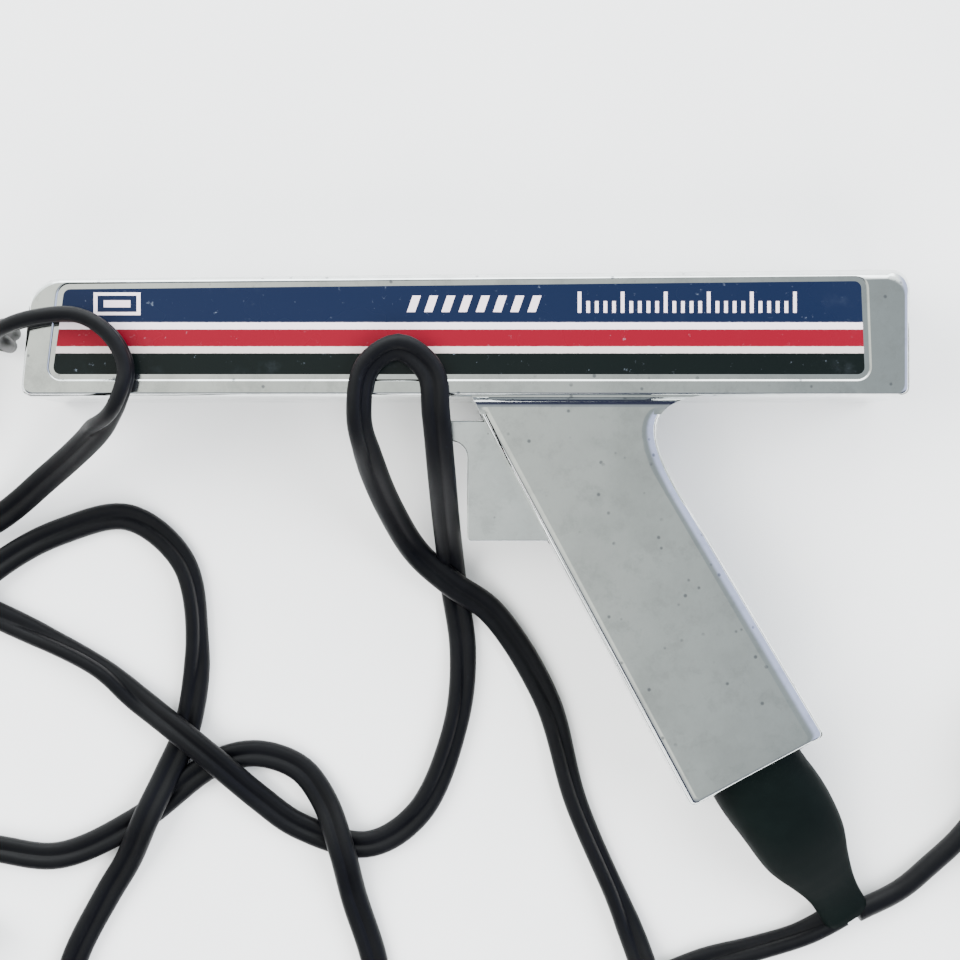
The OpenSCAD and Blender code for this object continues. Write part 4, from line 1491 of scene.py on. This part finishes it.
@dataclass
class Boot:
    """The rubber boot where the leads leave the grip, tapered towards them."""

    shape: GunShape = field(default_factory=GunShape)
    run: tuple[tuple[Point, float, float], ...] = (
        ((0, 0, 0), 13.0, 11.4), ((3, -4.8, -0.2), 13.2, 11.2), ((8.5, -12.3, -1.3), 12.9, 10.4),
        ((15.5, -23.5, -6), 11.9, 8.6), ((22.5, -34, -12), 9.0, 6.3),
        ((27.3, -41.8, -15.8), 6.9, 4.0), ((28.8, -44.2, -16.6), 6.7, 3.7))
    neck: tuple[Flat, ...] = ((-6.3, 9.6), (-2.6, 9.6), (-2.5, 7.9), (0.1, 7.9))
    spread: float = 40.0

    def build(self, material: bpy.types.Material) -> bpy.types.Object:
        """Makes the boot as one sweep from the grip's end down to the bench.

        Args:
            material: The finish.

        Returns:
            The boot.
        """
        start = Vector((*self.shape.boot_start, self.shape.split))
        grip_down = Vector((*self.shape.u, 0))
        centres = smooth([tuple(start + Vector(c)) for c, _, _ in self.run], 1.2)
        sizes = smooth([(w, h, self.spread * i) for i, (_, w, h) in enumerate(self.run)], 0.5)
        side = Vector((-grip_down.y, grip_down.x, 0))
        up = grip_down.cross(side)
        rings = [[tuple(start + grip_down * back + a * side + b * up)
                  for a, b in oval(r, r, 2.0)] for back, r in self.neck]
        last = len(centres) - 1
        for i, centre in enumerate(centres):
            t = i / last
            ahead = (centres[min(i + 1, last)] - centres[max(i - 1, 0)]).normalized()
            ahead = grip_down.lerp(ahead, rise(t / 0.25)).normalized()
            side = Vector((-ahead.y, ahead.x, 0)).normalized()
            up = ahead.cross(side)
            size = self._size(t, sizes)
            lip = 1 - 0.10 * rise((t - 0.975) / 0.025)
            rings.append([tuple(centre + a * side + b * up)
                          for a, b in oval(size[0] * lip, size[1] * lip, 2.5)])
        piece = loft("boot_rubber_cover", rings)
        finish_edges(piece, 0.0)
        scaled(piece)
        settle(piece, "housing", "boot_rubber", material, "strain_relief")
        return piece

    def _size(self, t: float, sizes: Sequence[Vector]) -> Flat:
        """Sizes the section at a place from 0 to 1.

        Args:
            t: The place.
            sizes: Half widths, half heights and places.

        Returns:
            Half width and half height.
        """
        reach = t * self.spread * (len(self.run) - 1)
        close = min(sizes, key=lambda s: abs(s.z - reach))
        return close.x, close.y


# ---------------------------------------------------------------- parts inside and moving


LOOKS = {
    "chrome": Chrome(),
    # The trigger is the housing's chrome with its tint painted brighter and bluer: a painted
    # reflection of the bright room in its face.
    "trigger": Chrome("trigger_chrome_painted_reflection", (0.93, 0.97, 0.98), 0.10, 0.1, 0.004, 0.1),
    "label": Print(),
    "lead": Moulded("lead_vinyl", (0.0010, 0.0011, 0.0017), 0.42, 0.0009, 0.00003, 0.12,
                    (0.04, 0.05, 0.07), 0.0, 0.2),
    "boot": Moulded("boot_vinyl", (0.0010, 0.0024, 0.0022), 0.70, 0.0004, 0.00003, 0.1,
                    (0.02, 0.03, 0.03), 0.0, 0.12),
    "black": Moulded("black_moulding", (0.0045, 0.0045, 0.005), 0.46, dust=0.1,
                     sheen=(0.08, 0.085, 0.09), specular=0.25),
    "red_vinyl": Moulded("red_vinyl", (0.24, 0.005, 0.006), 0.36, 0.0012, 0.00005, 0.2,
                         (0.2, 0.04, 0.035), 0.08, 0.3),
    "red_lead": Moulded("red_lead_vinyl", (0.22, 0.005, 0.006), 0.4, 0.0009, 0.00003, 0.2,
                        (0.2, 0.05, 0.045), 0.04, 0.3),
    "black_vinyl": Moulded("black_vinyl", (0.003, 0.003, 0.0035), 0.38, 0.0012, 0.00005, 0.15,
                           (0.06, 0.065, 0.07), 0.05, 0.25),
    "steel": Metal("plated_steel", (0.60, 0.60, 0.61)),
    "wire": Metal("spring_wire", (0.50, 0.50, 0.52), 0.32, 0.0003),
    "sink": Metal("sink_aluminium", (0.66, 0.67, 0.69), 0.38, 0.0008),
    "copper": Metal("copper_winding", (0.62, 0.28, 0.12), 0.3, 0.00035, (0.3, 0.12, 0.06)),
    "reflector": Metal("bright_reflector", (0.86, 0.87, 0.88), 0.06, 0.002, (0.75, 0.76, 0.77)),
    "lens": Clear("lens_acrylic"),
    "tube": Clear("tube_glass", (0.96, 0.97, 0.99), 1.47),
    "white": Moulded("white_ceramic", (0.68, 0.67, 0.63), 0.4, 0.0008, 0.00003, 0.2,
                     (0.45, 0.42, 0.36)),
    "board": Moulded("board_laminate", (0.02, 0.085, 0.03), 0.35, 0.0005, 0.00003, 0.3,
                     (0.08, 0.16, 0.07), 0.2),
    "sleeve": Moulded("capacitor_sleeve", (0.015, 0.03, 0.14), 0.3, 0.0008, 0.00003, 0.15,
                      (0.1, 0.12, 0.22), 0.2),
    "epoxy": Moulded("black_epoxy", (0.014, 0.014, 0.015), 0.55),
    "resistor": Moulded("resistor_body", (0.40, 0.24, 0.12), 0.45, 0.0006, 0.00003, 0.3,
                        (0.2, 0.1, 0.05)),
    "red_moulding": Moulded("red_moulding", (0.5, 0.02, 0.02), 0.35),
    "ferrite": Moulded("ferrite", (0.035, 0.035, 0.038), 0.5, 0.0005, 0.00005, 0.4,
                       (0.09, 0.09, 0.1)),
}

KEPT = {
    "left_label": "label", "right_label": "label", "lens": "lens", "reflector": "reflector",
    "flash_tube": "tube", "tube_holder": "white", "circuit_board": "board",
    "storage_capacitor": "sleeve", "inverter_transformer": "copper", "heat_sink": "sink",
    "power_transistor": "epoxy", "board_components": "resistor", "trigger_coil": "copper",
    "trigger_pin": "steel", "pickup_pin": "steel"}


@dataclass
class RoundedNode:
    """A CAD node that is shown with its edges rounded."""

    node: str
    body: str
    finish: str
    slot: str
    width: float = 0.4 * MM
    segments: int = 2


def clip_parts(side: str, vinyl: str, slot: str) -> tuple[RoundedNode, ...]:
    """Returns one battery clip's rounded parts."""
    jaw = f"{side}_clip_jaw"
    return (RoundedNode(f"{side}_clip_fixed_jaw", "housing", "steel", "plated_steel", 0.22 * MM),
            RoundedNode(f"{side}_clip_moving_jaw", jaw, "steel", "plated_steel", 0.22 * MM),
            RoundedNode(f"{side}_clip_fixed_boot", "housing", vinyl, slot, 0.7 * MM, 3),
            RoundedNode(f"{side}_clip_moving_boot", jaw, vinyl, slot, 0.7 * MM, 3),
            RoundedNode(f"{side}_clip_rivet", "housing", "steel", "plated_steel", 0.3 * MM, 3))


ROUNDED = (
    RoundedNode("lens_bezel", "housing", "black", "black_plastic", 0.5 * MM, 3),
    RoundedNode("trigger", "trigger", "trigger", "chrome", 0.9 * MM, 4),
    RoundedNode("micro_switch", "housing", "black", "black_plastic", 0.3 * MM),
    RoundedNode("switch_plunger", "switch_plunger", "red_moulding", "switch_red", 0.4 * MM, 3),
    *(RoundedNode(f"housing_screw_{i}", "housing", "steel", "plated_steel", 0.25 * MM)
      for i in range(1, 6)),
    *clip_parts("red", "red_vinyl", "vinyl_red"), *clip_parts("black", "black_vinyl",
                                                             "vinyl_black"),
    RoundedNode("pickup_fixed_half", "housing", "black", "black_plastic", 0.7 * MM, 3),
    RoundedNode("pickup_moving_half", "pickup_jaw", "black", "black_plastic", 0.7 * MM, 3),
    RoundedNode("pickup_fixed_core", "housing", "ferrite", "ferrite", 0.3 * MM),
    RoundedNode("pickup_moving_core", "pickup_jaw", "ferrite", "ferrite", 0.3 * MM))


@dataclass
class Springs:
    """The wound springs of the trigger, the clips and the clamp, in their CAD spaces."""

    wires: tuple[tuple[str, float, float], ...] = (
        ("trigger_spring", 0.4, 1.8), ("red_clip_spring", 0.5, 1.9),
        ("black_clip_spring", 0.5, 1.9), ("pickup_spring", 0.5, 2.25))
    turn_steps: int = 24

    def _wound(self, node: str, material: bpy.types.Material, wire: float,
               inner: float) -> None:
        """Winds a spring of a wire that fills the space of a CAD sleeve.

        Args:
            node: The sleeve's node.
            material: The finish.
            wire: Radius of the wire.
            inner: Radius of the sleeve's bore.
        """
        low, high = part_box(node)
        centre = (low + high) / 2
        outer = (high.x - low.x) / 2
        radius = max(inner + wire, outer - wire)
        height = high.z - low.z - 2 * wire
        turns = max(1.0, math.floor(height / (2.15 * wire) * 2) / 2)
        count = int(turns * self.turn_steps)
        line = [Vector((centre.x - radius * math.cos(2 * math.pi * turns * i / count),
                        centre.y - radius * math.sin(2 * math.pi * turns * i / count),
                        low.z + wire + height * i / count)) for i in range(count + 1)]
        piece = swept(f"{node}_coil", line, lambda _: circle(wire, 10))
        settle(piece, "housing", "plated_steel", material, node)

    def build(self, material: bpy.types.Material) -> None:
        """Makes all four springs."""
        for node, wire, inner in self.wires:
            self._wound(node, material, wire * MM, inner * MM)


# ---------------------------------------------------------------- studio


class Room(Enum):
    """Light from the room by its direction, as linear colours."""

    MIDDLE = (0.42, 0.47, 0.49)
    LEFT = (1.25, 1.28, 1.18)
    WINDOW = (2.6, 2.75, 2.75)
    RIGHT = (1.00, 1.10, 1.60)
    FRONT = (0.50, 0.54, 0.58)
    LOW_FRONT = (0.045, 0.05, 0.10)


@dataclass
class Studio:
    """Camera, bench and soft lights."""

    camera_place: Point = (0.0037, -0.0377, 0.540)
    lens_mm: float = 73.2
    sensor_mm: float = 36.0

    def camera(self) -> None:
        """Makes the camera, looking straight down with the barrel's top upwards."""
        data = bpy.data.cameras.new("camera")
        data.lens = self.lens_mm
        data.sensor_width = self.sensor_mm
        data.clip_start, data.clip_end = 0.01, 20.0
        camera = bpy.data.objects.new("camera", data)
        camera.location = self.camera_place
        bpy.context.scene.collection.objects.link(camera)
        bpy.context.scene.camera = camera

    def bench(self) -> None:
        """Makes the pale bench top."""
        size = 5.0
        piece = loft("bench", [[(-size, -size, z), (size, -size, z), (size, size, z),
                                (-size, size, z)] for z in (-0.02, -0.0002)])
        s = Sheet("bench_paper")
        tone = s.noise(0.05, 3.0).ramp(0.3, 0.8)
        s.set(Base_Color=s.mix(tone, (0.86, 0.86, 0.86), (0.89, 0.89, 0.885)),
              Roughness=0.85 + tone * 0.08)
        dress(piece, s.material)

    @staticmethod
    def _panel(name: str, place: Point, size: Flat, watts: float,
               tint: Point = (1.0, 1.0, 1.0), mirrored: bool = False) -> None:
        """Hangs a soft panel light that faces the bench's middle.

        Args:
            name: Its name.
            place: Where it hangs.
            size: Its width and height.
            watts: Its power.
            tint: Its colour.
            mirrored: Whether bright plate shows it.
        """
        data = bpy.data.lights.new(name, "AREA")
        data.shape = "RECTANGLE"
        data.size, data.size_y = size
        data.energy = watts
        data.color = tint
        light = bpy.data.objects.new(name, data)
        light.location = place
        light.rotation_mode = "QUATERNION"
        light.rotation_quaternion = (-Vector(place)).to_track_quat("-Z", "Y")
        light.visible_glossy = mirrored
        bpy.context.scene.collection.objects.link(light)

    def room(self) -> None:
        """Makes the soft room light: bright windows behind, dim towards the front."""
        sky = Sky("room")
        x, y, z = sky.axes()
        tone = sky.mix((0.48 - x * 2.4).clipped(), Room.MIDDLE.value, Room.LEFT.value)
        tone = sky.mix(y.ramp(0.25, 0.6), tone, Room.WINDOW.value)
        tone = sky.mix(x.ramp(0.45, 0.8), tone, Room.RIGHT.value)
        tone = sky.mix((0 - y).ramp(0.3, 0.7), tone, Room.FRONT.value)
        tone = sky.mix((0 - y).ramp(0.3, 0.6) * (1 - z.ramp(0.25, 0.58)), tone,
                       Room.LOW_FRONT.value)
        sky.set(Color=tone, Strength=1.0)
        bpy.context.scene.world = sky.world

    def lights(self) -> None:
        """Makes the panel lights."""
        self._panel("window", (0.0, 1.3, 0.55), (1.6, 0.8), 16.0, (0.95, 0.98, 1.0), True)
        self._panel("left_fill", (-1.2, 0.3, 1.3), (1.2, 1.2), 56.0)
        self._panel("right_fill", (1.2, 0.1, 1.3), (1.2, 1.2), 48.0, (0.95, 0.98, 1.0))
        self._panel("front_fill", (0.0, -1.2, 1.2), (1.2, 1.0), 36.0)


def main() -> None:
    """Builds the scene: camera and leads first, then the housing and the rest."""
    logging.basicConfig(level=logging.INFO, format="%(message)s")
    studio = Studio()
    studio.camera()
    finish = {key: look.make() for key, look in LOOKS.items()}

    power = PowerLead()
    power_lead = power.build(finish["lead"], finish["black"])
    splitter = Splitter().build(finish["lead"])
    red = Branch("red_branch_flex", "lead_red", "red_branch", RED_ROUTE)
    black = Branch("black_branch_flex", "lead_black", "black_branch", BLACK_ROUTE)
    red_lead, black_lead = red.build(finish["red_lead"]), black.build(finish["lead"])
    pickup = PickupLead()
    pickup_lead = pickup.build(finish["lead"], finish["black"])

    Housing().build(finish["chrome"])
    Boot().build(finish["boot"])
    made = {part.node: refined(part.node, part.body, finish[part.finish], part.slot,
                               part.width, part.segments) for part in ROUNDED}
    Springs().build(finish["wire"])
    for node, look in KEPT.items():
        dress(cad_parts[node], finish[look])
        LOG.info("%s: CAD shape with %s", node, look)

    power.declare(power_lead, [splitter])
    for branch, lead, side in ((red, red_lead, "red"), (black, black_lead, "black")):
        clip = [made[f"{side}_clip_{part}"] for part in
                ("fixed_jaw", "moving_jaw", "fixed_boot", "moving_boot", "rivet")]
        branch.declare(lead, clip + [bpy.data.objects[f"{side}_clip_spring_coil"]])
    pickup.declare(pickup_lead, [
        made["pickup_fixed_half"], made["pickup_moving_half"], made["pickup_fixed_core"],
        made["pickup_moving_core"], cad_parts["pickup_pin"],
        bpy.data.objects["pickup_spring_coil"]])

    studio.bench()
    studio.room()
    studio.lights()


if __name__ == "__main__":
    main()
